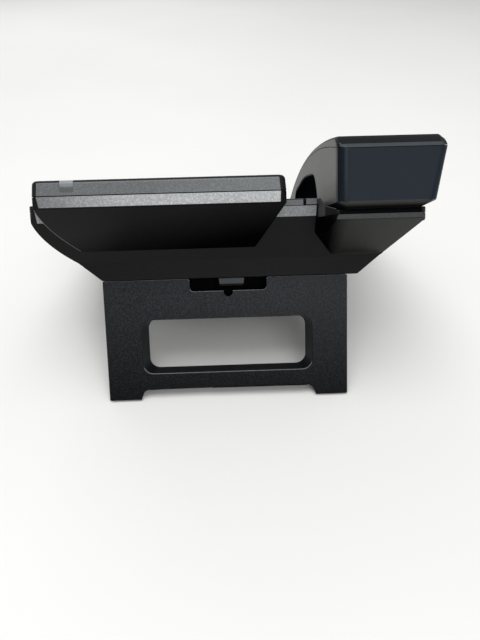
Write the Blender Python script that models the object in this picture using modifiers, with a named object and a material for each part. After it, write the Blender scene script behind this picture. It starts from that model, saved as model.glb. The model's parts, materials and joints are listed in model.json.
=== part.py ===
"""Desk phone: a sloping keypad base on a folding stand, a raised display and a handset at the side.

Everything is modelled in the face frame: x to the user's right, y up the slope of the keypad face from
its front edge, z out of the face. An empty leans that frame back, and a root empty stands it on the desk.
"""

import math

import bmesh
import bpy
from mathutils import Matrix, Vector

# Posture and fits
LEAN = math.radians(31.0)      # slope of the keypad face
GAP = 0.0003                   # clearance between neighbouring pieces
WALL = 0.0022                  # moulded wall

# Base housing, depths measured down from the face
BASE_RIGHT = 0.1008            # middle plane to the right rim
BASE_LEFT = 0.0997             # middle plane to the rim beside the handset
FACE_LENGTH = 0.195            # front edge to rear rim
FRONT_DEPTH = 0.0088           # front edge of the face above the desk
SEAM_DEPTH = 0.0038            # parting line of faceplate and lower shell
RIM_HEIGHT = 0.0053            # sloping rear rim under the parting line
RIM_INSET = 0.0026
WAIST_DEPTH = 0.031            # crease across the back
WAIST_SETBACK = 0.017
BASE_DEPTH = 0.0415            # flat underside
HEEL_SETBACK = 0.019
WAIST_RIGHT = 0.0816
WAIST_LEFT = 0.0900
FLOOR_RIGHT = 0.0702
FLOOR_LEFT = 0.0780
FLANK_DEPTH = 0.0050           # where the right flank starts to curve in
FLANK_BULGE = 0.0180           # how far down its curve stays near the rim
REAR_CORNER = 0.005
JOINT_CORNER = 0.001           # corners along the joint of faceplate and cradle
FRONT_CORNER = 0.008

# Wing behind the base that carries the ear end of the handset
WING_REACH = 0.025
WING_CORNER = 0.003
WING_INNER = 0.050             # middle plane to its inner wall
WING_TAPER = 0.0053
WING_SEAM = 0.0104             # parting line of cradle and lower shell
WING_RIM = 0.0025
WING_FLANK = 0.013
WING_CREASE = 0.0300
WING_SHOULDER = 0.017          # where its inner wall starts to slant
WING_SLANT = 0.011

# Cradle
SPLIT = 0.0434                 # middle plane to the joint of faceplate and cradle
CRADLE_FLOOR = 0.0083
CRADLE_RIM = 0.0075            # lowered outer rim
CRADLE_NOSE = 0.0100           # front stretch where the cradle's joint rises to the face's joint
WELL_INNER = 0.0560
WELL_OUTER = 0.0955
HUMP_START = 0.084             # raised middle, up the slope
HUMP_END = 0.158
SLOT_COUNT = 5
SLOT_LENGTH = 0.030
SLOT_WIDTH = 0.0024
SLOT_PITCH = 0.007

# Display head
HEAD_LEFT = 0.0320
HEAD_RIGHT = 0.0910
HEAD_LENGTH = 0.092            # lower edge to rear edge
HEAD_REACH = 0.020             # past the rear rim of the base
HEAD_TOP = 0.0100              # bezel front above the keypad face
HEAD_SEAM = 0.0026             # parting line of bezel and rear cover
HEAD_RIM = 0.0059
HEAD_RIM_INSET = 0.0030
HEAD_BACK_DEPTH = 0.0248       # lower edge of the tapered back
HEAD_BACK_SETBACK = 0.0127     # that edge from the rear rim of the base
HEAD_BACK_LEFT = 0.0172
HEAD_BACK_RIGHT = 0.0780
HEAD_BULGE = 0.0099            # how far down its right flank stays near the rim
HEAD_SLAB = 0.0020             # rear cover's floor over the faceplate
HEAD_CORNER = 0.0030
BEZEL_PLATE = 0.0020

SCREEN_WIDTH = 0.083
SCREEN_HEIGHT = 0.054
SCREEN_X = 0.0295
SCREEN_RISE = 0.053            # middle of the screen above the head's lower edge
SCREEN_CORNER = 0.001
LENS_RECESS = 0.0001
LCD_MARGIN = 0.0020

LAMP_WIDTH = 0.0067
LAMP_HEIGHT = 0.0034
LAMP_DEPTH = 0.0035
LAMP_X = 0.0745

# Keys
KEY_PROUD = 0.0018
KEY_SKIRT = 0.0009             # thickness of the retaining flange
KEY_FLANGE = 0.0008            # how far it reaches past the hole
KEY_TRAVEL = 0.0012
KEY_CORNER = 0.0020
DIAL_KEY = (0.0190, 0.0105)
DIAL_X = 0.02975
DIAL_SETBACK = 0.0245          # top row below the arrow keys' middle
DIAL_PITCH_X = 0.0245
DIAL_PITCH_Y = 0.0145
NAV_SETBACK = 0.0250           # arrow keys' middle below the head
NAV_OK = (0.0130, 0.0110)
NAV_ARROW = 0.0080             # depth of an arrow key
NAV_SPACE = 0.0006             # between the flanges of neighbouring keys
SOFT_KEY = (0.0160, 0.0080)
SOFT_RISE = 0.0150             # above the head's lower edge
SOFT_PITCH = 0.02075
LINE_KEY = (0.0120, 0.0100)
LINE_SPACE = 0.0045            # from the screen's edge
LINE_PITCH = 0.0240
SIDE_KEY = (0.0160, 0.0100)
SIDE_X = 0.0840
ROCKER = (0.0110, 0.0320)
ROCKER_X = -0.0240
ROCKER_DROP = 0.0007           # its flange sits this much lower, so that it can rock

# Boards
BOARD = 0.0016
MAT = 0.0013
KEY_BOARD_LEFT = 0.0310
KEY_BOARD_RIGHT = 0.0950
KEY_BOARD_FRONT = 0.0100
KEY_BOARD_SETBACK = 0.0015     # its rear edge below the head
POST_RADIUS = 0.0022
POST_INSET = 0.0028            # board edge to post centre
MAIN_BOARD_LEFT = 0.0300
MAIN_BOARD_RIGHT = 0.0550
MAIN_BOARD_FRONT = 0.0640
MAIN_BOARD_SETBACK = 0.0310    # its rear edge from the rear rim
MAIN_BOARD_DEPTH = 0.0270

SCREW_LEFT = 0.0375
SCREW_RIGHT = 0.0620
SCREW_FRONT = 0.0900           # front pair up the slope
SCREW_SETBACK = 0.0430         # rear pair from the rear rim
SCREW_RADIUS = 0.0015
SCREW_HEAD = 0.0030
SCREW_HEAD_HEIGHT = 0.0018
SCREW_LENGTH = 0.0120
BOSS_HEIGHT = 0.0055
BOSS_RADIUS = 0.0046

# Jacks in the underside, mouths flush with it
JACK_Y = 0.128
NETWORK_X = 0.0230
NETWORK_PITCH = 0.0160
NETWORK_MOUTH = (0.0118, 0.0084)
PORT_X = -0.0200
PORT_PITCH = 0.0118
PORT_MOUTH = (0.0078, 0.0068)
MOUTH_DEPTH = 0.0105
JACK_WALL = 0.0018

# Loudspeaker and hook switch under the cradle
SPEAKER_RADIUS = 0.0170
SPEAKER_HEIGHT = 0.0075
SPEAKER_MAGNET = 0.0102        # radius of the magnet behind the basket
SPEAKER_X = -0.0740
SPEAKER_Y = 0.1210
PLUNGER = (0.0070, 0.0090)
PLUNGER_X = -0.0765
PLUNGER_SETBACK = 0.0300       # from the wing's rear
PLUNGER_LENGTH = 0.0110
PLUNGER_FLANGE = 0.0012

# Folding stand
STAND_SETBACK = 0.020          # rear face of the stand from the rear rim
STAND_WIDTH = 0.141
STAND_CLEARANCE = 0.0005       # under the base
STAND_PLATE = 0.0024
STAND_DEPTH = 0.0140
STAND_BAR = 0.0075             # lower edge of the cross bar above the feet
STAND_BAR_RISE = 0.0061        # how much its front edge is higher than its rear edge
STAND_FOOT = 0.0190
STAND_FOOT_SLANT = 0.0045
STAND_FOOT_RISE = 0.0025       # where the slant between foot and cross bar starts
STAND_BAR_CORNER = 0.001
STAND_KNUCKLE = 0.001          # top of the front edge above the hinge line
WINDOW_WIDTH = 0.0994
WINDOW_HEIGHT = 0.0317
WINDOW_DROP = 0.0230           # below the stand's top edge
WINDOW_CORNER = 0.006
NOTCH_X = -0.0015
NOTCH_WIDTH = 0.0440
NOTCH_DEPTH = 0.0070
NOTCH_HOLE = 0.0027
NOTCH_CORNER = 0.0020
NOTCH_WALL = 0.0120            # height of the wall that closes the notch in front
HINGE_SETBACK = 0.0110         # hinge line from the stand's rear face
HINGE_DROP = 0.0045            # hinge line under the base
HINGE_INSET = 0.0065           # lugs from the stand's sides
LUG_WIDTH = 0.0040
LUG_RADIUS = 0.0032
PIN_RADIUS = 0.0015
LATCH_X = -0.0035
LATCH_WIDTH = 0.0147
LATCH_DROP = 0.0047            # below the underside
LATCH_THICKNESS = 0.0050
LATCH_NECK = 0.0025
LATCH_TRAVEL = 0.0020
LATCH_FLANGE = 0.0015
PAD_PROUD = 0.0012
FRONT_PAD = (0.036, 0.012)
FRONT_PAD_X = 0.050
FRONT_PAD_INSET = 0.014
FRONT_PAD_CORNER = 0.003
STAND_PAD_INSET = 0.0022
STAND_PAD_CORNER = 0.002

# Handset
HANDSET_INNER = 0.0565         # middle plane to its inner side
HANDSET_OUTER = 0.1082
HANDSET_DRAFT = 0.0049         # outer side leans in by this towards its face
HANDSET_REAR = 0.223
HANDSET_FRONT = 0.018
HANDSET_SEAM = 0.0205          # parting line at the ear end
HANDSET_CHAMFER = 0.0034
HANDSET_BROW = 0.0027          # cut above the parting line at the ear end
HANDSET_UNDERCUT = 0.0088      # width of the slanting lower edge on the outer side
HANDSET_EAR_TOP = 0.0262
HANDSET_MOUTH_TOP = 0.0145
HANDSET_CROWN = 0.0438         # control height of the back's curve
HANDSET_EAR_LENGTH = 0.0505
HANDSET_MOUTH_LENGTH = 0.0340
HANDSET_ARCH = 0.0215          # height of the grip's underside
HANDSET_BOW = 0.010            # the crown's control lies this far before the middle
SEAM_BOW = 0.008               # and the parting line's
SEAM_RISE = 0.0022             # the parting line's control above the crown's
ARCH_BEND = 0.120              # radii of the grip's underside: middle, mouth end, ear end
MOUTH_BEND = 0.014
EAR_BEND = 0.012
MOUTH_RUN = 0.016              # run and drop of the arch into the mouth end
MOUTH_FALL = 0.005
EAR_RUN = 0.015                # and into the ear end
EAR_FALL = 0.0043
HANDSET_BEVEL = 0.0016
HANDSET_CORNER = 0.004
RECEIVER_RADIUS = 0.0150
RECEIVER_HEIGHT = 0.0065
MICROPHONE_RADIUS = 0.0045
MICROPHONE_HEIGHT = 0.0050
HANDSET_JACK = (0.0110, 0.0105)
HANDSET_JACK_DEPTH = 0.0125

# Places that follow from the sizes above
STAND_Y = FACE_LENGTH - STAND_SETBACK
STAND_DROP = FRONT_DEPTH + STAND_Y * math.tan(LEAN)
STAND_TOP = -BASE_DEPTH - STAND_CLEARANCE
HINGE_X = STAND_WIDTH / 2 - HINGE_INSET
HINGE_Y = STAND_Y - HINGE_SETBACK
HINGE_Z = -BASE_DEPTH - HINGE_DROP
WING_REAR = FACE_LENGTH + WING_REACH
HEAD_REAR = FACE_LENGTH + HEAD_REACH
HEAD_FRONT = HEAD_REAR - HEAD_LENGTH
HEAD_BACK_Y = FACE_LENGTH - HEAD_BACK_SETBACK
SCREEN_Y = HEAD_FRONT + SCREEN_RISE
SOFT_Y = HEAD_FRONT + SOFT_RISE
LINE_Y = (SCREEN_Y + LINE_PITCH / 2, SCREEN_Y - LINE_PITCH / 2)
NAV_Y = HEAD_FRONT - NAV_SETBACK
DIAL_Y = NAV_Y - DIAL_SETBACK
SIDE_Y = (DIAL_Y - DIAL_PITCH_Y, DIAL_Y - 2 * DIAL_PITCH_Y)
ROCKER_Y = DIAL_Y - 1.5 * DIAL_PITCH_Y
KEY_BOARD_REAR = HEAD_FRONT - KEY_BOARD_SETBACK
MAIN_BOARD_REAR = FACE_LENGTH - MAIN_BOARD_SETBACK
SCREW_Y = (SCREW_FRONT, FACE_LENGTH - SCREW_SETBACK)
PLUNGER_Y = WING_REAR - PLUNGER_SETBACK
COVER_TOP = HEAD_SEAM - GAP
HANDSET_Z = -CRADLE_FLOOR + GAP
HANDSET_X = -(HANDSET_INNER + HANDSET_OUTER - HANDSET_DRAFT) / 2
FLOOR_TOP = -BASE_DEPTH + WALL
MAT_TOP = -WALL - GAP - KEY_SKIRT - KEY_TRAVEL - GAP
BOARD_TOP = MAT_TOP - MAT - GAP
HIGH = 0.060                   # a height clear of everything
DEEP = 0.100                   # a depth clear of everything
BEYOND = 0.006                 # how far a cutter runs past what it cuts
MERGE = 1e-6                   # points closer than this are one
SHARP = 1e-5                   # a corner of a smaller radius is drawn sharp
STRAIGHT = 0.05                # so is one that turns by less than this, in radians

PLASTIC = (0.035, 0.037, 0.040)
RIM_GREY = (0.075, 0.078, 0.080)

AXES = {
    "x": Matrix(((0, 0, 1), (1, 0, 0), (0, 1, 0))).to_4x4(),
    "y": Matrix(((1, 0, 0), (0, 0, -1), (0, 1, 0))).to_4x4(),
    "z": Matrix.Identity(4),
}
ALONG = {"x": Vector((1, 0, 0)), "y": Vector((0, 1, 0)), "z": Vector((0, 0, 1))}


def clear_scene():
    for item in list(bpy.data.objects):
        bpy.data.objects.remove(item, do_unlink=True)


def collection(name):
    made = bpy.data.collections.new(name)
    bpy.context.scene.collection.children.link(made)
    return made


def empty(name, location=(0, 0, 0), parent=None):
    made = bpy.data.objects.new(name, None)
    made.location = location
    made.parent = parent
    PARTS.objects.link(made)
    return made


def material(name, colour, roughness, metallic=0.0):
    made = bpy.data.materials.new(name)
    made.use_nodes = True
    shader = made.node_tree.nodes["Principled BSDF"]
    shader.inputs["Base Color"].default_value = (*colour, 1.0)
    shader.inputs["Roughness"].default_value = roughness
    shader.inputs["Metallic"].default_value = metallic
    return made


def corners(points):
    """Outline corners as (a, b, radius), counter-clockwise."""
    full = [(p[0], p[1], p[2] if len(p) > 2 else 0.0) for p in points]
    area = sum(p[0] * q[1] - q[0] * p[1] for p, q in zip(full, full[1:] + full[:1]))
    return full if area > 0 else full[::-1]


def turns(points):
    """Each corner with the unit directions into and out of it."""
    full = corners(points)
    for before, here, after in zip(full[-1:] + full[:-1], full, full[1:] + full[:1]):
        at = Vector(here[:2])
        yield at, here[2], (at - Vector(before[:2])).normalized(), (Vector(after[:2]) - at).normalized()


def inset(points, distance):
    """The outline moved inwards by a distance, with its corner radii following."""
    moved = []
    for at, radius, arriving, leaving in turns(points):
        normals = Vector((-arriving.y, arriving.x)) + Vector((-leaving.y, leaving.x))
        at = at + normals * distance / (1 + arriving.dot(leaving))
        outward = arriving.cross(leaving) > 0
        moved.append((at.x, at.y, max(radius - distance, 0.0) if outward and radius else
                      radius + distance if radius else 0.0))
    return moved


def rounded(points, steps=4):
    """The outline's vertices, each corner with a radius drawn as an arc."""
    drawn = []
    for at, radius, arriving, leaving in turns(points):
        bend = arriving.angle_signed(leaving, 0.0)
        if radius < SHARP or abs(bend) < STRAIGHT:
            drawn.append(at)
            continue
        reach = radius * math.tan(abs(bend) / 2)
        start = at - arriving * reach
        side = Vector((-arriving.y, arriving.x)) * math.copysign(radius, arriving.cross(leaving))
        count = max(2, round(steps * abs(bend) / (math.pi / 2)))
        for i in range(count + 1):
            turn = Matrix.Rotation(math.copysign(abs(bend), arriving.cross(leaving)) * i / count, 2)
            drawn.append(start + side + turn @ -side)
    return drawn


def bezier(start, control, end, count=8):
    """Points of a quadratic curve, ends included."""
    found = []
    for i in range(count + 1):
        t = i / count
        found.append(tuple((1 - t) ** 2 * s + 2 * t * (1 - t) * c + t * t * e
                           for s, c, e in zip(start, control, end)))
    return found


def rectangle(x, y, width, height, radius=0.0):
    return [(x - width / 2, y - height / 2, radius), (x + width / 2, y - height / 2, radius),
            (x + width / 2, y + height / 2, radius), (x - width / 2, y + height / 2, radius)]


def circle(x, y, radius, count=20):
    return [(x + radius * math.cos(2 * math.pi * i / count), y + radius * math.sin(2 * math.pi * i / count))
            for i in range(count)]


def prism(name, points, axis, low, high, steps=4):
    """A closed outline drawn as a filled curve, extruded along one axis and made a mesh object."""
    curve = bpy.data.curves.new(name, "CURVE")
    curve.dimensions = "2D"
    curve.fill_mode = "BOTH"
    curve.extrude = (high - low) / 2
    vertices = rounded(points, steps)
    spline = curve.splines.new("POLY")
    spline.points.add(len(vertices) - 1)
    for point, at in zip(spline.points, vertices):
        point.co = (at.x, at.y, 0.0, 1.0)
    spline.use_cyclic_u = True
    flat = bpy.data.objects.new(name, curve)
    bpy.context.scene.collection.objects.link(flat)
    graph = bpy.context.evaluated_depsgraph_get()
    mesh = bpy.data.meshes.new_from_object(flat.evaluated_get(graph))
    bpy.data.objects.remove(flat)
    bpy.data.curves.remove(curve)
    mesh.transform(Matrix.Translation(ALONG[axis] * (low + high) / 2) @ AXES[axis])
    shape = bmesh.new()
    shape.from_mesh(mesh)
    bmesh.ops.remove_doubles(shape, verts=shape.verts, dist=MERGE)
    bmesh.ops.recalc_face_normals(shape, faces=shape.faces)
    shape.to_mesh(mesh)
    shape.free()
    made = bpy.data.objects.new(name, mesh)
    made.parent = FACE
    PARTS.objects.link(made)
    return made


def tool(piece):
    """Marks a shape as a cutter or as a body to join: kept, and not part of the phone."""
    for home in list(piece.users_collection):
        home.objects.unlink(piece)
    CUTTERS.objects.link(piece)
    piece.hide_render = True
    piece.display_type = "WIRE"
    return piece


def boolean(piece, other, operation):
    change = piece.modifiers.new(other.name, "BOOLEAN")
    change.operation = operation
    change.solver = "EXACT"
    change.object = tool(other)
    return piece


def cut(piece, *others):
    for other in others:
        boolean(piece, other, "DIFFERENCE")
    return piece


def join(piece, *others):
    for other in others:
        boolean(piece, other, "UNION")
    return piece


def keep(piece, *others):
    for other in others:
        boolean(piece, other, "INTERSECT")
    return piece


def dress(piece, skin, origin=None, parent=None):
    """Gives the piece its material, and its own origin or parent where it moves."""
    piece.data.materials.clear()
    piece.data.materials.append(skin)
    if origin is not None:
        piece.data.transform(Matrix.Translation(-Vector(origin)))
        piece.location = origin
    if parent is not None:
        piece.location = Vector(piece.location) - Vector(parent.location)
        piece.parent = parent
    return piece


def shade_round(piece, angle=40.0):
    piece.data.shade_smooth()
    piece.data.set_sharp_from_angle(angle=math.radians(angle))
    return piece


def base_side():
    """Side outline of the base (y, z), open above the face."""
    facet = FRONT_DEPTH - PAD_PROUD / math.cos(LEAN)
    return [(0, HIGH), (0, -facet), ((BASE_DEPTH - facet) / math.tan(LEAN), -BASE_DEPTH),
            (FACE_LENGTH - HEEL_SETBACK, -BASE_DEPTH), (FACE_LENGTH - WAIST_SETBACK, -WAIST_DEPTH),
            (FACE_LENGTH - RIM_INSET, -SEAM_DEPTH - RIM_HEIGHT), (FACE_LENGTH, -SEAM_DEPTH),
            (FACE_LENGTH, HIGH)]


def base_cross():
    """Cross outline of the base (x, z): a curved right flank and a two-step left one."""
    spread = BEYOND / (BASE_DEPTH - WAIST_DEPTH)
    right = bezier((BASE_RIGHT, -FLANK_DEPTH), (BASE_RIGHT, -FLANK_BULGE), (WAIST_RIGHT, -WAIST_DEPTH), 6)
    return [(BASE_RIGHT, HIGH), *right,
            (FLOOR_RIGHT - spread * (WAIST_RIGHT - FLOOR_RIGHT), -BASE_DEPTH - BEYOND),
            (-FLOOR_LEFT + spread * (WAIST_LEFT - FLOOR_LEFT), -BASE_DEPTH - BEYOND),
            (-WAIST_LEFT, -WING_CREASE), (-BASE_LEFT, -WING_FLANK), (-BASE_LEFT, HIGH)]


def base_plan():
    """Plan of the base with the wing (x, y)."""
    return [(BASE_RIGHT, 0, FRONT_CORNER), (BASE_RIGHT, FACE_LENGTH, REAR_CORNER),
            (-WING_INNER, FACE_LENGTH), (-WING_INNER - WING_TAPER, WING_REAR, WING_CORNER),
            (-BASE_LEFT, WING_REAR, REAR_CORNER), (-BASE_LEFT, 0, FRONT_CORNER)]


def wing_side():
    inside = FACE_LENGTH - 2 * WING_REACH
    return [(inside, HIGH), (inside, -WING_CREASE), (FACE_LENGTH - WAIST_SETBACK, -WING_CREASE),
            (WING_REAR - WING_RIM / 2, -WING_SEAM - WING_RIM), (WING_REAR, -WING_SEAM), (WING_REAR, HIGH)]


def wing_cross():
    foot = -WING_INNER - WING_SLANT
    low, outside = -WING_CREASE - BEYOND, -BASE_LEFT - BEYOND
    return [(-WING_INNER, HIGH), (-WING_INNER, -WING_SHOULDER), (foot, -WING_CREASE), (foot, low),
            (outside, low), (outside, HIGH)]


def base_form(name, thickness):
    """The base with its wing as one block, drawn in by a wall thickness."""
    wide = BASE_RIGHT + BEYOND
    far = WING_REAR + BEYOND
    block = prism(name, inset(base_side(), thickness), "x", -wide, wide)
    wing = prism(name + "_wing", inset(wing_side(), thickness), "x", -wide, wide)
    keep(wing, prism(name + "_wing_cross", inset(wing_cross(), thickness), "y", -BEYOND, far))
    join(block, wing)
    return keep(block, prism(name + "_cross", inset(base_cross(), thickness), "y", -BEYOND, far),
                prism(name + "_plan", inset(base_plan(), thickness), "z", -DEEP, DEEP))


def cradle_joint(rise):
    """Everything above the joint of cradle and lower shell (y, z)."""
    far = WING_REAR + BEYOND
    return [(-BEYOND, HIGH + BEYOND), (-BEYOND, -SEAM_DEPTH + rise), (0, -SEAM_DEPTH + rise),
            (CRADLE_NOSE, -WING_SEAM + rise), (far, -WING_SEAM + rise), (far, HIGH + BEYOND)]


def screw_places():
    return [(x, y) for y in SCREW_Y for x in (-SCREW_LEFT, SCREW_RIGHT)]


def main_board_places():
    return [(x, y) for y in (MAIN_BOARD_FRONT + 2 * POST_INSET, MAIN_BOARD_REAR - POST_INSET)
            for x in (-MAIN_BOARD_LEFT + POST_INSET, MAIN_BOARD_RIGHT - POST_INSET)]


def key_board_places():
    return [(x, y) for y in (KEY_BOARD_FRONT + POST_INSET, KEY_BOARD_REAR - POST_INSET)
            for x in (-KEY_BOARD_LEFT + POST_INSET, KEY_BOARD_RIGHT - POST_INSET)]


def jack_block(mouth, pitch):
    """Width and height of a two-port block around its mouths."""
    return pitch + mouth[0] + 2 * JACK_WALL, mouth[1] + 2 * JACK_WALL


def lug_outline():
    return [(HINGE_Y - LUG_RADIUS, HINGE_Z - LUG_RADIUS, LUG_RADIUS),
            (HINGE_Y + LUG_RADIUS, HINGE_Z - LUG_RADIUS, LUG_RADIUS),
            (HINGE_Y + LUG_RADIUS, FLOOR_TOP - WALL / 2), (HINGE_Y - LUG_RADIUS, FLOOR_TOP - WALL / 2)]


def latch_front():
    """Front of the latch's neck, against the rear wall inside the base."""
    return FACE_LENGTH - HEEL_SETBACK - WALL - 2 * GAP - LATCH_NECK


def make_base():
    shell = base_form("base_lower_shell", 0.0)
    cut(shell, base_form("base_cavity", WALL))
    wide, far = BASE_RIGHT + BEYOND, WING_REAR + BEYOND
    face = [(-wide, HIGH + BEYOND), (-wide, -SEAM_DEPTH), (wide, -SEAM_DEPTH), (wide, HIGH + BEYOND)]
    cut(shell, prism("base_seam", face, "y", -BEYOND, far),
        prism("cradle_seat", cradle_joint(0.0), "x", -wide - BEYOND, -WING_INNER))
    low = FLOOR_TOP - WALL / 2
    for i, (x, y) in enumerate(main_board_places(), 1):
        join(shell, prism(f"board_stud_{i}", circle(x, y, POST_RADIUS, 10), "z", low,
                          -MAIN_BOARD_DEPTH - BOARD - GAP))
    for i, (x, y) in enumerate(screw_places(), 1):
        top = FLOOR_TOP + BOSS_HEIGHT
        join(shell, prism(f"screw_boss_{i}", circle(x, y, BOSS_RADIUS, 12), "z", low, top))
        cut(shell, prism(f"screw_bore_{i}", circle(x, y, SCREW_RADIUS + GAP, 10), "z", -BASE_DEPTH - BEYOND,
                         top + BEYOND),
            prism(f"screw_sink_{i}", circle(x, y, SCREW_HEAD + GAP, 12), "z", -BASE_DEPTH - BEYOND,
                  -BASE_DEPTH + SCREW_HEAD_HEIGHT + 2 * GAP))
    for name, x, mouth, pitch in (("network", NETWORK_X, NETWORK_MOUTH, NETWORK_PITCH),
                                  ("port", PORT_X, PORT_MOUTH, PORT_PITCH)):
        width, height = jack_block(mouth, pitch)
        cut(shell, prism(name + "_gate", rectangle(x, JACK_Y, width + 2 * GAP, height + 2 * GAP), "z",
                         -BASE_DEPTH - BEYOND, FLOOR_TOP + BEYOND))
    for side, name in ((-1, "left"), (1, "right")):
        middle = side * HINGE_X
        lug = prism("lug_" + name, lug_outline(), "x", middle - LUG_WIDTH / 2, middle + LUG_WIDTH / 2)
        bore = prism("lug_bore_" + name, circle(HINGE_Y, HINGE_Z, PIN_RADIUS + GAP, 12), "x",
                     middle - LUG_WIDTH, middle + LUG_WIDTH)
        cut(join(shell, lug), bore)
    front = latch_front()
    cut(shell, prism("latch_slot", rectangle(LATCH_X, front + (LATCH_NECK - LATCH_TRAVEL) / 2,
                                             LATCH_WIDTH - 2 * LATCH_NECK + 2 * GAP,
                                             LATCH_NECK + LATCH_TRAVEL + 2 * GAP), "z",
                     -BASE_DEPTH - BEYOND, FLOOR_TOP + GAP))
    dress(shell, material("shell_plastic", PLASTIC, 0.55))

    pad_skin = material("pad_rubber", (0.02, 0.02, 0.02), 0.9)
    for side, name in ((-1, "left"), (1, "right")):
        pad = prism("front_pad_" + name, rectangle(side * FRONT_PAD_X, 0, *FRONT_PAD, FRONT_PAD_CORNER), "z",
                    0, PAD_PROUD - GAP, 3)
        pad.parent = ROOT
        reach = STAND_Y / math.cos(LEAN) - FRONT_PAD_INSET - FRONT_PAD[1] / 2
        pad.location = (0, -reach, 0)
        dress(pad, pad_skin)

    steel = material("screw_steel", (0.55, 0.55, 0.56), 0.35, 1.0)
    for i, (x, y) in enumerate(screw_places(), 1):
        head = -BASE_DEPTH + GAP
        screw = prism(f"base_screw_{i}", circle(x, y, SCREW_HEAD, 12), "z", head, head + SCREW_HEAD_HEIGHT)
        join(screw, prism(f"screw_shank_{i}", circle(x, y, SCREW_RADIUS, 10), "z",
                          head + SCREW_HEAD_HEIGHT / 2, head + SCREW_HEAD_HEIGHT + SCREW_LENGTH))
        dress(screw, steel)


def make_boards():
    board_skin = material("board_green", (0.03, 0.12, 0.05), 0.6)
    outline = [(-MAIN_BOARD_LEFT, MAIN_BOARD_FRONT), (MAIN_BOARD_RIGHT, MAIN_BOARD_FRONT),
               (MAIN_BOARD_RIGHT, MAIN_BOARD_REAR), (-MAIN_BOARD_LEFT, MAIN_BOARD_REAR)]
    dress(prism("main_board", outline, "z", -MAIN_BOARD_DEPTH - BOARD, -MAIN_BOARD_DEPTH), board_skin)

    outline = [(-KEY_BOARD_LEFT, KEY_BOARD_FRONT), (KEY_BOARD_RIGHT, KEY_BOARD_FRONT),
               (KEY_BOARD_RIGHT, KEY_BOARD_REAR), (-KEY_BOARD_LEFT, KEY_BOARD_REAR)]
    board = prism("key_board", outline, "z", BOARD_TOP - BOARD, BOARD_TOP)
    mat_front, mat_rear = KEY_BOARD_FRONT + 2 * POST_INSET, KEY_BOARD_REAR - 2 * POST_INSET
    outline = [(-KEY_BOARD_LEFT, mat_front), (KEY_BOARD_RIGHT, mat_front),
               (KEY_BOARD_RIGHT, mat_rear), (-KEY_BOARD_LEFT, mat_rear)]
    mat = prism("keypad_mat", outline, "z", MAT_TOP - MAT, MAT_TOP)
    for piece in (board, mat):
        cut(piece, prism(piece.name + "_hole", circle(SCREW_RIGHT, SCREW_Y[0], BOSS_RADIUS, 12), "z",
                         BOARD_TOP - BEYOND, MAT_TOP + BEYOND))
    dress(board, board_skin)
    dress(mat, material("mat_silicone", (0.30, 0.31, 0.32), 0.8))

    jack_skin = material("jack_plastic", (0.04, 0.04, 0.04), 0.5)
    for name, x, mouth, pitch in (("network_jacks", NETWORK_X, NETWORK_MOUTH, NETWORK_PITCH),
                                  ("handset_ports", PORT_X, PORT_MOUTH, PORT_PITCH)):
        width, height = jack_block(mouth, pitch)
        block = prism(name, rectangle(x, JACK_Y, width, height), "z", -BASE_DEPTH,
                      -MAIN_BOARD_DEPTH - BOARD - GAP)
        for side in (-1, 1):
            cut(block, prism(f"{name}_mouth_{side + 2}", rectangle(x + side * pitch / 2, JACK_Y, *mouth), "z",
                             -BASE_DEPTH - BEYOND, -BASE_DEPTH + MOUTH_DEPTH))
        dress(block, jack_skin)


def face_keys():
    """Keys of the faceplate: name, centre and size."""
    found = []
    for i, label in enumerate(("1", "2", "3", "4", "5", "6", "7", "8", "9", "star", "0", "hash")):
        found.append(("key_" + label, DIAL_X + (i % 3 - 1) * DIAL_PITCH_X, DIAL_Y - (i // 3) * DIAL_PITCH_Y,
                      DIAL_KEY))
    space = 2 * (GAP + KEY_FLANGE) + NAV_SPACE + NAV_ARROW / 2
    rise, spread = NAV_OK[1] / 2 + space, NAV_OK[0] / 2 + space
    level, upright = (NAV_OK[0], NAV_ARROW), (NAV_ARROW, NAV_OK[0])
    found += [("nav_ok", DIAL_X, NAV_Y, NAV_OK), ("nav_up", DIAL_X, NAV_Y + rise, level),
              ("nav_down", DIAL_X, NAV_Y - rise, level), ("nav_left", DIAL_X - spread, NAV_Y, upright),
              ("nav_right", DIAL_X + spread, NAV_Y, upright),
              ("speaker_key", SIDE_X, SIDE_Y[0], SIDE_KEY), ("mute_key", SIDE_X, SIDE_Y[1], SIDE_KEY),
              ("volume_rocker", ROCKER_X, ROCKER_Y, ROCKER)]
    return found


def head_keys():
    """Keys of the display bezel: name, centre and size."""
    found = [(f"soft_key_{i + 1}", SCREEN_X + (i - 1.5) * SOFT_PITCH, SOFT_Y, SOFT_KEY) for i in range(4)]
    reach = SCREEN_WIDTH / 2 + LINE_SPACE + LINE_KEY[0] / 2
    for i, (side, y) in enumerate(((-1, LINE_Y[0]), (-1, LINE_Y[1]), (1, LINE_Y[0]), (1, LINE_Y[1])), 1):
        found.append((f"line_key_{i}", SCREEN_X + side * reach, y, LINE_KEY))
    return found


def key_hole(key, low, high):
    name, x, y, (width, height) = key
    return prism(name + "_hole", rectangle(x, y, width + 2 * GAP, height + 2 * GAP, KEY_CORNER + GAP), "z",
                 low, high, 2)


def make_key(key, surface, plate, skin):
    """A cap through its plate, held from behind by a flange."""
    name, x, y, (width, height) = key
    skirt = surface - plate - GAP - (ROCKER_DROP if name == "volume_rocker" else 0.0)
    cap = prism(name, rectangle(x, y, width, height, KEY_CORNER), "z", skirt - KEY_SKIRT,
                surface + KEY_PROUD, 2)
    join(cap, prism(name + "_flange", rectangle(x, y, width + 2 * (GAP + KEY_FLANGE),
                                                height + 2 * (GAP + KEY_FLANGE)), "z",
                    skirt - KEY_SKIRT, skirt))
    dress(cap, skin, origin=(x, y, surface))


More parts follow.
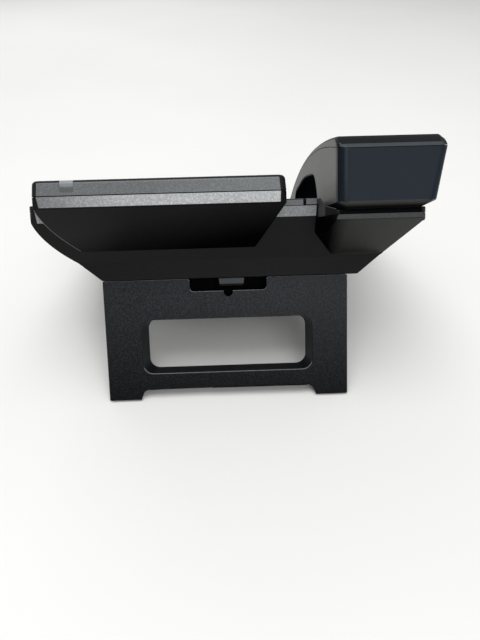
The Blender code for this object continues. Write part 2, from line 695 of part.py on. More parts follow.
def make_faceplate():
    outline = [(-SPLIT, 0, JOINT_CORNER), (BASE_RIGHT, 0, FRONT_CORNER),
               (BASE_RIGHT, FACE_LENGTH, REAR_CORNER), (-SPLIT, FACE_LENGTH, JOINT_CORNER)]
    plate = prism("base_faceplate", outline, "z", -SEAM_DEPTH + GAP, 0)
    cut(plate, prism("faceplate_pocket", inset(outline, WALL), "z", -SEAM_DEPTH - BEYOND, -WALL))
    for i, (x, y) in enumerate(key_board_places(), 1):
        join(plate, prism(f"board_post_{i}", circle(x, y, POST_RADIUS, 10), "z", BOARD_TOP + GAP, -WALL / 2))
    for i, (x, y) in enumerate(screw_places(), 1):
        foot = FLOOR_TOP + BOSS_HEIGHT + GAP
        join(plate, prism(f"screw_post_{i}", circle(x, y, BOSS_RADIUS - 3 * GAP, 12), "z", foot, -WALL / 2))
        cut(plate, prism(f"screw_pilot_{i}", circle(x, y, SCREW_RADIUS + GAP, 10), "z", foot - BEYOND,
                         -BASE_DEPTH + SCREW_HEAD_HEIGHT + SCREW_LENGTH + 3 * GAP))
    skin = material("key_plastic", (0.06, 0.06, 0.065), 0.5)
    for key in face_keys():
        cut(plate, key_hole(key, -WALL - BEYOND / 2, BEYOND))
        make_key(key, 0.0, WALL, skin)
    dress(plate, material("faceplate_plastic", RIM_GREY, 0.45))


def make_cradle():
    split = -SPLIT - GAP
    outline = [(split, 0, JOINT_CORNER), (split, FACE_LENGTH, JOINT_CORNER), *base_plan()[2:]]
    cradle = prism("handset_cradle", outline, "z", -WING_SEAM - BEYOND, 0)
    keep(cradle, prism("cradle_side", cradle_joint(GAP), "x", -BASE_LEFT - BEYOND, BEYOND))
    step = [(-WING_INNER - GAP, -WING_SEAM - BEYOND), (0, -WING_SEAM - BEYOND), (0, -SEAM_DEPTH + GAP),
            (-WING_INNER - GAP, -SEAM_DEPTH + GAP)]
    cut(cradle, prism("cradle_step", step, "y", -BEYOND, WING_REAR + BEYOND))
    well = [(-BASE_LEFT - BEYOND, HIGH), (-BASE_LEFT - BEYOND, -CRADLE_RIM),
            (-WELL_OUTER - 2 * (CRADLE_FLOOR - CRADLE_RIM), -CRADLE_RIM), (-WELL_OUTER, -CRADLE_FLOOR),
            (-WELL_INNER, -CRADLE_FLOOR), (-WING_INNER - 2 * GAP, BEYOND / 8), (-WING_INNER - 2 * GAP, HIGH)]
    ear = [(HUMP_END, HIGH), (HUMP_END, 0), (HUMP_END + CRADLE_FLOOR / 2, -2 * CRADLE_FLOOR),
           (WING_REAR + BEYOND, -2 * CRADLE_FLOOR), (WING_REAR + BEYOND, HIGH)]
    near = HANDSET_FRONT - BEYOND
    mouth = [(HUMP_START, HIGH), (HUMP_START, 0), (HUMP_START - CRADLE_FLOOR / 2, -2 * CRADLE_FLOOR),
             (near + CRADLE_FLOOR / 4, -2 * CRADLE_FLOOR), (near, 0), (near, HIGH)]
    for name, side in (("ear_well", ear), ("mouth_well", mouth)):
        cut(cradle, keep(prism(name, well, "y", -BEYOND, WING_REAR + BEYOND),
                         prism(name + "_side", side, "x", -BASE_LEFT - 2 * BEYOND, 0)))
    hollow = [(-WELL_OUTER, HUMP_START + WALL), (-WELL_INNER + WALL, HUMP_START + WALL),
              (-WELL_INNER + WALL, HUMP_END - WALL), (-WELL_OUTER, HUMP_END - WALL)]
    cut(cradle, prism("hump_hollow", hollow, "z", -WING_SEAM - BEYOND, -WALL))
    for i in range(SLOT_COUNT):
        y = SPEAKER_Y + (i - (SLOT_COUNT - 1) / 2) * SLOT_PITCH
        cut(cradle, prism(f"speaker_slot_{i + 1}", rectangle(SPEAKER_X, y, SLOT_LENGTH, SLOT_WIDTH), "z",
                          -WALL - BEYOND / 4, BEYOND))
    gate = rectangle(PLUNGER_X, PLUNGER_Y, PLUNGER[0] + 2 * GAP, PLUNGER[1] + 2 * GAP)
    cut(cradle, prism("plunger_gate", gate, "z", -WING_SEAM - BEYOND, -CRADLE_FLOOR + BEYOND))
    dress(cradle, material("cradle_plastic", PLASTIC, 0.5))

    plunger = prism("hook_plunger", rectangle(PLUNGER_X, PLUNGER_Y, *PLUNGER), "z",
                    -CRADLE_FLOOR - PLUNGER_LENGTH, -CRADLE_FLOOR)
    join(plunger, prism("plunger_flange", rectangle(PLUNGER_X, PLUNGER_Y, PLUNGER[0] + 4 * PLUNGER_FLANGE,
                                                    PLUNGER[1] + 4 * PLUNGER_FLANGE), "z",
                        -CRADLE_FLOOR - PLUNGER_LENGTH, -CRADLE_FLOOR - PLUNGER_LENGTH + PLUNGER_FLANGE))
    dress(plunger, material("plunger_plastic", (0.05, 0.05, 0.05), 0.5),
          origin=(PLUNGER_X, PLUNGER_Y, -CRADLE_FLOOR))

    top = -WALL - GAP
    speaker = prism("loudspeaker", circle(SPEAKER_X, SPEAKER_Y, SPEAKER_RADIUS, 24), "z",
                    top - SPEAKER_HEIGHT / 3, top)
    join(speaker, prism("speaker_magnet", circle(SPEAKER_X, SPEAKER_Y, SPEAKER_MAGNET, 18), "z",
                        top - SPEAKER_HEIGHT, top - SPEAKER_HEIGHT / 6))
    dress(shade_round(speaker), material("speaker_metal", (0.20, 0.20, 0.21), 0.5, 0.6))


def head_plan():
    return [(-HEAD_LEFT, HEAD_FRONT, HEAD_CORNER), (HEAD_RIGHT, HEAD_FRONT, HEAD_CORNER),
            (HEAD_RIGHT, HEAD_REAR, HEAD_CORNER), (-HEAD_LEFT, HEAD_REAR, HEAD_CORNER)]


def head_cross(top):
    """Cross outline of the display's back (x, z): straight on the left, curved on the right."""
    low = HEAD_SEAM - HEAD_RIM
    right = bezier((HEAD_RIGHT, low), (HEAD_RIGHT, low - HEAD_BULGE),
                   (HEAD_BACK_RIGHT, -HEAD_BACK_DEPTH), 6)
    lean = BEYOND * (HEAD_LEFT - HEAD_BACK_LEFT) / HEAD_BACK_DEPTH
    return [(HEAD_RIGHT, top), *right, (HEAD_BACK_RIGHT - BEYOND, -HEAD_BACK_DEPTH - BEYOND),
            (-HEAD_BACK_LEFT + lean, -HEAD_BACK_DEPTH - BEYOND), (-HEAD_BACK_LEFT, -HEAD_BACK_DEPTH),
            (-HEAD_LEFT, low), (-HEAD_LEFT, top)]


def head_back(top):
    """The part of the display's back that overhangs the base (y, z)."""
    return [(FACE_LENGTH + GAP, top), (HEAD_REAR, top), (HEAD_REAR, COVER_TOP),
            (HEAD_REAR - HEAD_RIM_INSET, HEAD_SEAM - HEAD_RIM), (HEAD_BACK_Y, -HEAD_BACK_DEPTH),
            (FACE_LENGTH - RIM_INSET + GAP, -SEAM_DEPTH - RIM_HEIGHT), (FACE_LENGTH + GAP, -SEAM_DEPTH)]


def make_head():
    wide = BASE_RIGHT + BEYOND
    near = HEAD_FRONT - BEYOND
    side = [(near, COVER_TOP), *head_back(COVER_TOP)[2:5], (near, -HEAD_BACK_DEPTH)]
    cover = prism("display_rear_cover", side, "x", -wide, wide)
    keep(cover, prism("head_cross", head_cross(HIGH), "y", 0, HEAD_REAR + BEYOND),
         prism("head_plan", head_plan(), "z", -DEEP, DEEP))
    body = [(y, min(z, 0.0)) for y, z in base_side()]
    cut(cover, prism("base_envelope", inset(body, -GAP), "x", -wide - BEYOND, wide + BEYOND))
    room = head_back(HIGH)[:2] + head_back(HIGH)[3:]
    hollow = prism("head_hollow", inset(room, HEAD_SLAB), "x", -wide, wide)
    keep(hollow, prism("hollow_cross", inset(head_cross(HIGH), WALL), "y", 0, HEAD_REAR + BEYOND),
         prism("hollow_plan", inset(head_plan(), WALL), "z", -DEEP, DEEP))
    cut(cover, hollow)
    dress(cover, material("head_plastic", (0.015, 0.015, 0.016), 0.45))

    bezel = prism("display_bezel", head_plan(), "z", HEAD_SEAM, HEAD_TOP)
    cut(bezel, prism("bezel_pocket", inset(head_plan(), WALL), "z", HEAD_SEAM - BEYOND,
                     HEAD_TOP - BEZEL_PLATE))
    screen = rectangle(SCREEN_X, SCREEN_Y, SCREEN_WIDTH, SCREEN_HEIGHT, SCREEN_CORNER)
    cut(bezel, prism("screen_window", screen, "z", HEAD_SEAM, HEAD_TOP + BEYOND))
    lamp_y, lamp_z = HEAD_REAR - LAMP_DEPTH / 2, HEAD_TOP - LAMP_HEIGHT / 2
    notch = rectangle(LAMP_X, lamp_y + BEYOND / 2, LAMP_WIDTH + 2 * GAP, LAMP_DEPTH + 2 * GAP + BEYOND)
    cut(bezel, prism("lamp_notch", notch, "z", HEAD_TOP - LAMP_HEIGHT - GAP, HEAD_TOP + BEYOND))
    skin = material("head_key_plastic", (0.06, 0.06, 0.065), 0.5)
    for key in head_keys():
        cut(bezel, key_hole(key, HEAD_TOP - BEZEL_PLATE - BEYOND / 4, HEAD_TOP + BEYOND))
        make_key(key, HEAD_TOP, BEZEL_PLATE, skin)
    dress(bezel, material("bezel_plastic", RIM_GREY, 0.45))

    lamp = prism("message_lamp", rectangle(LAMP_X, lamp_y, LAMP_WIDTH, LAMP_DEPTH), "z",
                 lamp_z - LAMP_HEIGHT / 2, lamp_z + LAMP_HEIGHT / 2)
    dress(lamp, material("lamp_lens", (0.55, 0.56, 0.55), 0.3))
    lens = prism("display_lens", inset(screen, GAP), "z", HEAD_TOP - BEZEL_PLATE, HEAD_TOP - LENS_RECESS)
    dress(lens, material("lens_acrylic", (0.02, 0.025, 0.03), 0.1))
    lcd = prism("lcd_panel", inset(screen, -LCD_MARGIN), "z", COVER_TOP + GAP, HEAD_TOP - BEZEL_PLATE - GAP)
    dress(lcd, material("lcd_glass", (0.18, 0.22, 0.19), 0.25))


def stand_outline():
    """Rear view of the stand (x, z): a plate with two legs."""
    half = STAND_WIDTH / 2
    foot = half - STAND_FOOT
    bar = -STAND_DROP + STAND_BAR
    low = -STAND_DROP - STAND_DEPTH
    kink = -STAND_DROP + STAND_FOOT_RISE
    return [(-half, STAND_TOP + BEYOND), (-half, low), (-foot, low), (-foot, kink),
            (-foot + STAND_FOOT_SLANT, bar, STAND_BAR_CORNER),
            (foot - STAND_FOOT_SLANT, bar, STAND_BAR_CORNER),
            (foot, kink), (foot, low), (half, low), (half, STAND_TOP + BEYOND)]


def stand_side(draw_in):
    """Side view of the stand (y, z), its feet cut level with the desk."""
    front = STAND_Y - STAND_DEPTH
    knuckle = HINGE_Z + STAND_KNUCKLE
    sole = -STAND_DROP + (PAD_PROUD + draw_in) / math.cos(LEAN)
    return [(front, knuckle), (HINGE_Y, STAND_TOP - draw_in), (STAND_Y, STAND_TOP - draw_in), (STAND_Y, sole),
            (front, sole + STAND_DEPTH * math.tan(LEAN))]


def bar_under(rise):
    """The space under the stand's cross bar (y, z), sloping up to the front."""
    slope = STAND_BAR_RISE / STAND_DEPTH
    rear, front = STAND_Y + BEYOND, STAND_Y - STAND_DEPTH - BEYOND
    low = -STAND_DROP - STAND_DEPTH
    bar = -STAND_DROP + STAND_BAR + rise
    return [(rear, low), (rear, bar - slope * BEYOND), (front, bar + slope * (STAND_DEPTH + BEYOND)),
            (front, low)]


def make_stand():
    front = STAND_Y - STAND_DEPTH
    wide = STAND_WIDTH / 2 + BEYOND
    stand = prism("stand", stand_outline(), "y", front - BEYOND, STAND_Y + BEYOND)
    keep(stand, prism("stand_side", stand_side(0.0), "x", -wide, wide))
    pocket = prism("stand_pocket", inset(stand_outline(), STAND_PLATE), "y", front - 2 * BEYOND,
                   STAND_Y - STAND_PLATE)
    reach = [(front - BEYOND, HINGE_Z + BEYOND), *stand_side(STAND_PLATE)[1:4],
             (front - BEYOND, stand_side(STAND_PLATE)[4][1] + BEYOND * math.tan(LEAN))]
    keep(pocket, prism("pocket_side", reach, "x", -wide, wide))
    inner = STAND_WIDTH / 2 - STAND_FOOT - STAND_FOOT_SLANT
    cut(pocket, prism("bar_floor", bar_under(STAND_PLATE), "x", -inner - STAND_PLATE, inner + STAND_PLATE))
    cut(stand, pocket, prism("bar_under", bar_under(0.0), "x", -inner, inner))
    middle = STAND_TOP - WINDOW_DROP - WINDOW_HEIGHT / 2
    window = rectangle(0, middle, WINDOW_WIDTH, WINDOW_HEIGHT, WINDOW_CORNER)
    join(stand, prism("window_rim", inset(window, -STAND_PLATE), "y", front + GAP, STAND_Y - STAND_PLATE / 2))
    cut(stand, prism("window", window, "y", front - BEYOND, STAND_Y + BEYOND))
    left, right = NOTCH_X - NOTCH_WIDTH / 2, NOTCH_X + NOTCH_WIDTH / 2
    brim, bottom, corner = STAND_TOP + GAP / 3, STAND_TOP - NOTCH_DEPTH, NOTCH_CORNER
    notch = [(left - 2 * corner, STAND_TOP + BEYOND), (left - 2 * corner, brim), (left, brim, corner),
             (left, bottom, corner), (right, bottom, corner), (right, brim, corner),
             (right + 2 * corner, brim), (right + 2 * corner, STAND_TOP + BEYOND)]
    wall = rectangle(NOTCH_X, STAND_TOP - NOTCH_WALL / 2, NOTCH_WIDTH + 2 * STAND_PLATE,
                     NOTCH_WALL + STAND_PLATE)
    back = prism("notch_wall", wall, "y", front + GAP, front + STAND_PLATE)
    join(stand, keep(back, prism("notch_wall_side", stand_side(0.0), "x", -wide, wide)))
    cut(stand, prism("stand_notch", notch, "y", front + STAND_PLATE + GAP, STAND_Y + BEYOND),
        prism("notch_hole", circle(NOTCH_X, STAND_TOP - NOTCH_DEPTH - NOTCH_HOLE / 4, NOTCH_HOLE, 16), "y",
              STAND_Y - 2 * STAND_PLATE, STAND_Y + BEYOND))
    pin_skin = material("pin_steel", (0.6, 0.6, 0.6), 0.3, 1.0)
    for side, name in ((-1, "left"), (1, "right")):
        near, far = front - BEYOND, STAND_Y - STAND_PLATE - GAP
        slot = rectangle(side * HINGE_X, (near + far) / 2, LUG_WIDTH + 4 * GAP, far - near)
        cut(stand, prism("lug_slot_" + name, slot, "z", HINGE_Z - LUG_RADIUS - BEYOND, STAND_TOP + BEYOND))
        inner, outer = HINGE_X - LUG_WIDTH / 2, STAND_WIDTH / 2
        cut(stand, prism("pin_hole_" + name, circle(HINGE_Y, HINGE_Z, PIN_RADIUS + GAP, 12), "x",
                         *sorted((side * (inner + LUG_WIDTH), side * (outer + BEYOND)))))
        pin = prism("hinge_pin_" + name, circle(HINGE_Y, HINGE_Z, PIN_RADIUS, 12), "x",
                    *sorted((side * inner, side * (outer - GAP))))
        dress(shade_round(pin), pin_skin, origin=(0, HINGE_Y, HINGE_Z))
    dress(stand, material("stand_plastic", (0.030, 0.034, 0.038), 0.65), origin=(0, HINGE_Y, HINGE_Z))

    pad_skin = material("stand_pad_rubber", (0.02, 0.02, 0.02), 0.9)
    depth = STAND_DEPTH / math.cos(LEAN) - 2 * STAND_PAD_INSET
    hinge = Vector((0, -HINGE_SETBACK * math.cos(LEAN) - (STAND_DROP + HINGE_Z) * math.sin(LEAN),
                    (STAND_DROP + HINGE_Z) * math.cos(LEAN) - HINGE_SETBACK * math.sin(LEAN)))
    for side, name in ((-1, "left"), (1, "right")):
        middle = side * (STAND_WIDTH - STAND_FOOT) / 2
        pad = prism("stand_pad_" + name,
                    rectangle(middle, -depth / 2 - STAND_PAD_INSET, STAND_FOOT - 2 * STAND_PAD_INSET, depth,
                              STAND_PAD_CORNER),
                    "z", 0, PAD_PROUD - GAP, 3)
        pad.parent = ROOT
        dress(pad, pad_skin, origin=hinge)

    front = latch_front()
    low = -BASE_DEPTH - LATCH_DROP
    tab = rectangle(LATCH_X, front + LATCH_THICKNESS / 2, LATCH_WIDTH, LATCH_THICKNESS)
    neck = rectangle(LATCH_X, front + LATCH_NECK / 2, LATCH_WIDTH - 2 * LATCH_NECK, LATCH_NECK)
    flange = rectangle(LATCH_X, front + LATCH_NECK / 2 - LATCH_TRAVEL / 2, LATCH_WIDTH,
                       LATCH_NECK + LATCH_TRAVEL)
    latch = prism("stand_latch", tab, "z", low, -BASE_DEPTH - GAP)
    join(latch, prism("latch_neck", neck, "z", low + GAP, FLOOR_TOP + 2 * GAP),
         prism("latch_flange", flange, "z", FLOOR_TOP + GAP, FLOOR_TOP + GAP + LATCH_FLANGE))
    dress(latch, material("latch_plastic", (0.085, 0.095, 0.10), 0.5), origin=(LATCH_X, front, -BASE_DEPTH))


def handset_side():
    """Side outline of the whole handset (y, z): an arched grip between two deep ends."""
    low = HANDSET_Z - BEYOND / 4
    arch = HANDSET_ARCH
    back = bezier((HANDSET_REAR - 2 * HANDSET_CHAMFER, HANDSET_EAR_TOP),
                  ((HANDSET_REAR + HANDSET_FRONT) / 2 - HANDSET_BOW, HANDSET_CROWN),
                  (HANDSET_FRONT + 3 * HANDSET_CHAMFER, HANDSET_MOUTH_TOP), 14)
    ear = HANDSET_REAR - HANDSET_EAR_LENGTH
    mouth = HANDSET_FRONT + HANDSET_MOUTH_LENGTH
    return [(HANDSET_REAR - HANDSET_CHAMFER / 2, low), (HANDSET_REAR, HANDSET_Z + HANDSET_CHAMFER),
            (HANDSET_REAR, HANDSET_SEAM), (HANDSET_REAR - HANDSET_CHAMFER / 2, HANDSET_SEAM + HANDSET_BROW),
            *back, (HANDSET_FRONT, HANDSET_MOUTH_TOP - 2 * HANDSET_CHAMFER),
            (HANDSET_FRONT, HANDSET_Z + HANDSET_CHAMFER), (HANDSET_FRONT + HANDSET_CHAMFER / 2, low),
            (mouth, low), (mouth + MOUTH_RUN, arch - MOUTH_FALL, MOUTH_BEND),
            ((ear + mouth) / 2, arch, ARCH_BEND), (ear - EAR_RUN, arch - EAR_FALL, EAR_BEND), (ear, low)]


def handset_cross():
    """Cross outline of the handset (x, z): upright inner side, leaning outer side."""
    chamfer = HANDSET_CHAMFER
    lean = HANDSET_DRAFT / (HANDSET_SEAM - HANDSET_Z - chamfer)
    return [(-HANDSET_INNER, HIGH), (-HANDSET_INNER, HANDSET_Z + chamfer),
            (-HANDSET_INNER - chamfer, HANDSET_Z),
            (-HANDSET_OUTER + HANDSET_DRAFT + HANDSET_UNDERCUT, HANDSET_Z),
            (-HANDSET_OUTER + HANDSET_DRAFT, HANDSET_Z + chamfer), (-HANDSET_OUTER, HANDSET_SEAM),
            (-HANDSET_OUTER - lean * (HIGH - HANDSET_SEAM), HIGH)]


def handset_plan():
    return [(-HANDSET_INNER, HANDSET_FRONT, HANDSET_CORNER), (-HANDSET_INNER, HANDSET_REAR, HANDSET_CORNER),
            (-HANDSET_OUTER, HANDSET_REAR, HANDSET_CORNER), (-HANDSET_OUTER, HANDSET_FRONT, HANDSET_CORNER)]


def handset_form(name, thickness):
    """The whole handset as one block, drawn in by a wall thickness."""
    block = prism(name, inset(handset_side(), thickness), "x", -HANDSET_OUTER - BEYOND,
                  -HANDSET_INNER + BEYOND, 6)
    cross = prism(name + "_cross", inset(handset_cross(), thickness), "y", 0, HANDSET_REAR + BEYOND)
    return keep(block, cross, prism(name + "_plan", inset(handset_plan(), thickness), "z", -DEEP, DEEP))


def seam_curve(rise):
    """Parting line of the handset's shells (y, z)."""
    ends = [(HANDSET_REAR + BEYOND, HANDSET_SEAM + rise)]
    line = bezier((HANDSET_REAR, HANDSET_SEAM + rise),
                  ((HANDSET_REAR + HANDSET_FRONT) / 2 - SEAM_BOW, HANDSET_CROWN + SEAM_RISE + rise),
                  (HANDSET_FRONT, HANDSET_MOUTH_TOP - 2 * HANDSET_CHAMFER + rise), 12)
    return ends + line + [(HANDSET_FRONT - BEYOND, HANDSET_MOUTH_TOP - 2 * HANDSET_CHAMFER + rise)]


def make_handset():
    left, right = -HANDSET_OUTER - BEYOND, -HANDSET_INNER + BEYOND
    holder = empty("handset_axis", (HANDSET_X, (HANDSET_FRONT + HANDSET_REAR) / 2, HANDSET_Z), FACE)
    skin = material("handset_plastic", (0.030, 0.033, 0.038), 0.5)
    for name, level, rise in (("handset_back_shell", HIGH, GAP / 2),
                              ("handset_front_shell", -HIGH, -GAP / 2)):
        form = handset_form(name + "_form", 0.0)
        bevel = form.modifiers.new("edges", "BEVEL")
        bevel.width = HANDSET_BEVEL
        bevel.segments = 1
        bevel.limit_method = "ANGLE"
        bevel.angle_limit = math.radians(50)
        seam = seam_curve(rise)
        shell = prism(name, [*seam, (seam[-1][0], level), (seam[0][0], level)], "x", left, right)
        keep(shell, form)
        cut(shell, handset_form(name + "_hollow", WALL))
        if level < 0:
            width, height = HANDSET_JACK
            z = HANDSET_Z + WALL + GAP + height / 2
            cut(shell, prism("jack_gate", rectangle(HANDSET_X, z, width + 2 * GAP, height + 2 * GAP), "y",
                             HANDSET_FRONT - BEYOND, HANDSET_FRONT + 2 * WALL))
        dress(shell, skin, parent=holder)

    floor = HANDSET_Z + WALL + GAP
    ear_y = HANDSET_REAR - HANDSET_EAR_LENGTH / 2
    receiver = prism("handset_receiver", circle(HANDSET_X, ear_y, RECEIVER_RADIUS, 24), "z", floor,
                     floor + RECEIVER_HEIGHT)
    dress(shade_round(receiver), material("receiver_metal", (0.3, 0.3, 0.31), 0.4, 0.7), parent=holder)
    mouth_y = HANDSET_FRONT + HANDSET_JACK_DEPTH + 2 * GAP + 2 * MICROPHONE_RADIUS
    microphone = prism("handset_microphone", circle(HANDSET_X, mouth_y, MICROPHONE_RADIUS, 16), "z", floor,
                       floor + MICROPHONE_HEIGHT)
    dress(shade_round(microphone), material("microphone_metal", (0.4, 0.4, 0.4), 0.4, 0.8), parent=holder)
    width, height = HANDSET_JACK
    z = floor + height / 2
    jack = prism("handset_jack", rectangle(HANDSET_X, z, width, height), "y", HANDSET_FRONT,
                 HANDSET_FRONT + HANDSET_JACK_DEPTH)
    cut(jack, prism("handset_jack_mouth", rectangle(HANDSET_X, z, *PORT_MOUTH), "y", HANDSET_FRONT - BEYOND,
                    HANDSET_FRONT + MOUTH_DEPTH))
    dress(jack, material("handset_jack_plastic", (0.04, 0.04, 0.04), 0.5), parent=holder)


def stand_on_desk():
    """Moves the root so that the middle of the phone's footprint, at desk level, is the origin."""
    bpy.context.view_layer.update()
    graph = bpy.context.evaluated_depsgraph_get()
    found = []
    for piece in PARTS.objects:
        if piece.type == "MESH":
            solid = piece.evaluated_get(graph)
            found += [solid.matrix_world @ vertex.co for vertex in solid.data.vertices]
    low = [min(p[i] for p in found) for i in range(3)]
    high = [max(p[i] for p in found) for i in range(3)]
    ROOT.location = (-(low[0] + high[0]) / 2, -(low[1] + high[1]) / 2, -low[2])


clear_scene()
PARTS = collection("desk_phone")
CUTTERS = collection("desk_phone_cutters")
ROOT = empty("desk_phone_root")
FACE = empty("face_frame", (0, -STAND_Y * math.cos(LEAN) - STAND_DROP * math.sin(LEAN),
                            STAND_DROP * math.cos(LEAN) - STAND_Y * math.sin(LEAN)), ROOT)
FACE.rotation_euler = (LEAN, 0, 0)
make_base()
make_boards()
make_faceplate()
make_cradle()
make_head()
make_stand()
make_handset()
stand_on_desk()
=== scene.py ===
"""How the desk phone looks: finer shells, finishes and legends, the studio light and the camera.

Every piece is drawn in the face frame (x to the user's right, y up the slope of the keypad face from its
front edge, z out of the face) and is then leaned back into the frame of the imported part. Lengths are metres.
"""

import json
import logging
import math
from collections.abc import Callable, Iterable, Iterator, Sequence
from dataclasses import dataclass
from enum import Enum

import bmesh
import bpy
from mathutils import Matrix, Vector


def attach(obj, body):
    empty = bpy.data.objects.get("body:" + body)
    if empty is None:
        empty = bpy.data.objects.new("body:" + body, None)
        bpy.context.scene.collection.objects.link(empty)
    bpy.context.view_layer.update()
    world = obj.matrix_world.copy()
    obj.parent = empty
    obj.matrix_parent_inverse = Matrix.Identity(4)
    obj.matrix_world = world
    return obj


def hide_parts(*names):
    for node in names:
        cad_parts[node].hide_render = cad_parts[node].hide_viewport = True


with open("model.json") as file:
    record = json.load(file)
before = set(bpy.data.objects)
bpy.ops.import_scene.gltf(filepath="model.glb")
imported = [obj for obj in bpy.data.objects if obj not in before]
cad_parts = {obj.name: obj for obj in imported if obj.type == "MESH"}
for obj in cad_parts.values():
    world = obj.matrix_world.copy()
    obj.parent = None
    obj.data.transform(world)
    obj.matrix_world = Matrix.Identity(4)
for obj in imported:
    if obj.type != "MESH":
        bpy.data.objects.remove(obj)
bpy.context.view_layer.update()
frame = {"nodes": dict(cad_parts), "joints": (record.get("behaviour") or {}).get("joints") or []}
LOG = logging.getLogger("desk_phone")

Corner = tuple[float, ...]
Triple = tuple[float, float, float]
Colour = Triple
EdgeChooser = Callable[[Vector], bool]
FaceChooser = Callable[[Vector, Vector], bool]
Socket = bpy.types.NodeSocket

GAP = 0.0003          # clearance between neighbouring pieces
WALL = 0.0022         # moulded wall
OPENING = 0.0002      # rounding of the edges of holes and windows
BEYOND = 0.006        # how far a cutter runs past what it cuts
HIGH = 0.060          # a height clear of everything
DEEP = 0.100          # a depth clear of everything
ARC_STEPS = 8         # segments in a quarter turn
CURVE_STEPS = 28      # segments in a long curve
MERGE = 1e-7          # points closer than this are one
SLIVER = 1e-6         # edges shorter than this go after a rounding
POINTED = 1e-5        # a corner with a smaller radius is drawn sharp
STRAIGHT = 0.05       # a corner that turns by fewer radians is drawn sharp
FLAT = 0.5            # faces within this many degrees count as one plane
STEEP = 60.0          # edges round an opening turn by more than this many degrees
FACING = 0.85         # how far a normal points along an axis where a face looks that way
CREASE = 35.0         # edges that turn by more than this many degrees are shaded sharp
SMOOTH = 0.00002      # relief of a finely textured moulding
NOISE = (0.3, 0.7)    # what a noise seldom goes past
SOFT = (0.35, 0.65)   # where a soft blend over a noise starts and ends


class Axis(Enum):
    """The direction along which an outline is drawn out."""

    X = "x"
    Y = "y"
    Z = "z"

    def place(self, flat: Vector, along: float) -> Vector:
        """Puts a point of a flat outline into the face frame.

        Args:
            flat: The point in the outline's plane.
            along: Its distance along this axis.

        Returns:
            The point in the face frame.
        """
        if self is Axis.X:
            return Vector((along, flat.x, flat.y))
        if self is Axis.Y:
            return Vector((flat.x, along, flat.y))
        return Vector((flat.x, flat.y, along))


@dataclass(frozen=True)
class Outline:
    """A closed flat outline, counter-clockwise, whose corners have a radius each."""

    corners: tuple[Triple, ...]

    @classmethod
    def of(cls, points: Sequence[Corner]) -> "Outline":
        """Takes corners as (a, b) or (a, b, radius), in either direction.

        Args:
            points: The corners in order.

        Returns:
            The outline, turned counter-clockwise.
        """
        full = [(p[0], p[1], p[2] if len(p) > 2 else 0.0) for p in points]
        area = sum(p[0] * q[1] - q[0] * p[1] for p, q in zip(full, full[1:] + full[:1]))
        return cls(tuple(full if area > 0 else full[::-1]))

    @classmethod
    def box(cls, x: float, y: float, width: float, height: float, radius: float = 0.0) -> "Outline":
        """A rectangle about its middle, with round corners."""
        a, b = width / 2, height / 2
        return cls.of([(x + i * a, y + j * b, radius) for i, j in ((-1, -1), (1, -1), (1, 1), (-1, 1))])

    @classmethod
    def disc(cls, x: float, y: float, radius: float, count: int = 32) -> "Outline":
        """A circle about its middle, drawn with a number of points."""
        turns = [2 * math.pi * i / count for i in range(count)]
        return cls.of([(x + radius * math.cos(t), y + radius * math.sin(t)) for t in turns])

    def bends(self) -> Iterator[tuple[Vector, float, Vector, Vector]]:
        """Follows the outline from corner to corner.

        Returns:
            Each corner with its radius and the unit directions into and out of it.
        """
        full = list(self.corners)
        for before, here, after in zip(full[-1:] + full[:-1], full, full[1:] + full[:1]):
            at = Vector(here[:2])
            yield at, here[2], (at - Vector(before[:2])).normalized(), (Vector(after[:2]) - at).normalized()

    def inset(self, distance: float) -> "Outline":
        """Moves the outline inwards, with its radii following.

        Args:
            distance: How far, negative for outwards.

        Returns:
            The moved outline.
        """
        moved = []
        for at, radius, arriving, leaving in self.bends():
            normals = Vector((-arriving.y, arriving.x)) + Vector((-leaving.y, leaving.x))
            spot = at + normals * distance / (1 + arriving.dot(leaving))
            convex = arriving.cross(leaving) > 0
            follow = max(radius - distance, 0.0) if convex else radius + distance
            moved.append((spot.x, spot.y, follow if radius else 0.0))
        return Outline(tuple(moved))

    def vertices(self, steps: int = ARC_STEPS, alike: bool = False) -> list[Vector]:
        """Draws the outline, each round corner as an arc.

        Args:
            steps: Segments in a quarter turn.
            alike: Gives every round corner that many segments, so that like outlines match point for point.

        Returns:
            The points in order, none of them doubled unless the outlines have to match.
        """
        drawn: list[Vector] = []
        for at, radius, arriving, leaving in self.bends():
            bend = arriving.angle_signed(leaving, 0.0)
            if not alike and (radius < POINTED or abs(bend) < STRAIGHT):
                drawn.append(at)
                continue
            turn = math.copysign(abs(bend), arriving.cross(leaving))
            start = at - arriving * radius * math.tan(abs(bend) / 2)
            side = Vector((-arriving.y, arriving.x)) * math.copysign(radius, turn)
            count = steps if alike else max(2, round(steps * abs(bend) / (math.pi / 2)))
            drawn += [start + side + Matrix.Rotation(turn * i / count, 2) @ -side for i in range(count + 1)]
        if alike:
            return drawn
        return [p for p, q in zip(drawn, drawn[1:] + drawn[:1]) if (p - q).length > MERGE]


def bow(start: Corner, control: Corner, end: Corner, count: int = CURVE_STEPS) -> list[Corner]:
    """Points of a quadratic curve, ends included, which a control point draws towards it."""
    shares = [i / count for i in range(count + 1)]
    return [tuple((1 - t) ** 2 * s + 2 * t * (1 - t) * c + t * t * e for s, c, e in zip(start, control, end))
            for t in shares]


def quarter(count: int) -> list[float]:
    """Angles that divide a quarter turn evenly, ends included."""
    return [math.pi / 2 * i / count for i in range(count + 1)]


def placed(name: str, data: bpy.types.ID) -> bpy.types.Object:
    """Puts a new object into the scene.

    Args:
        name: Its name.
        data: Its mesh, text, lamp or camera.

    Returns:
        The object.
    """
    made = bpy.data.objects.new(name, data)
    bpy.context.scene.collection.objects.link(made)
    return made


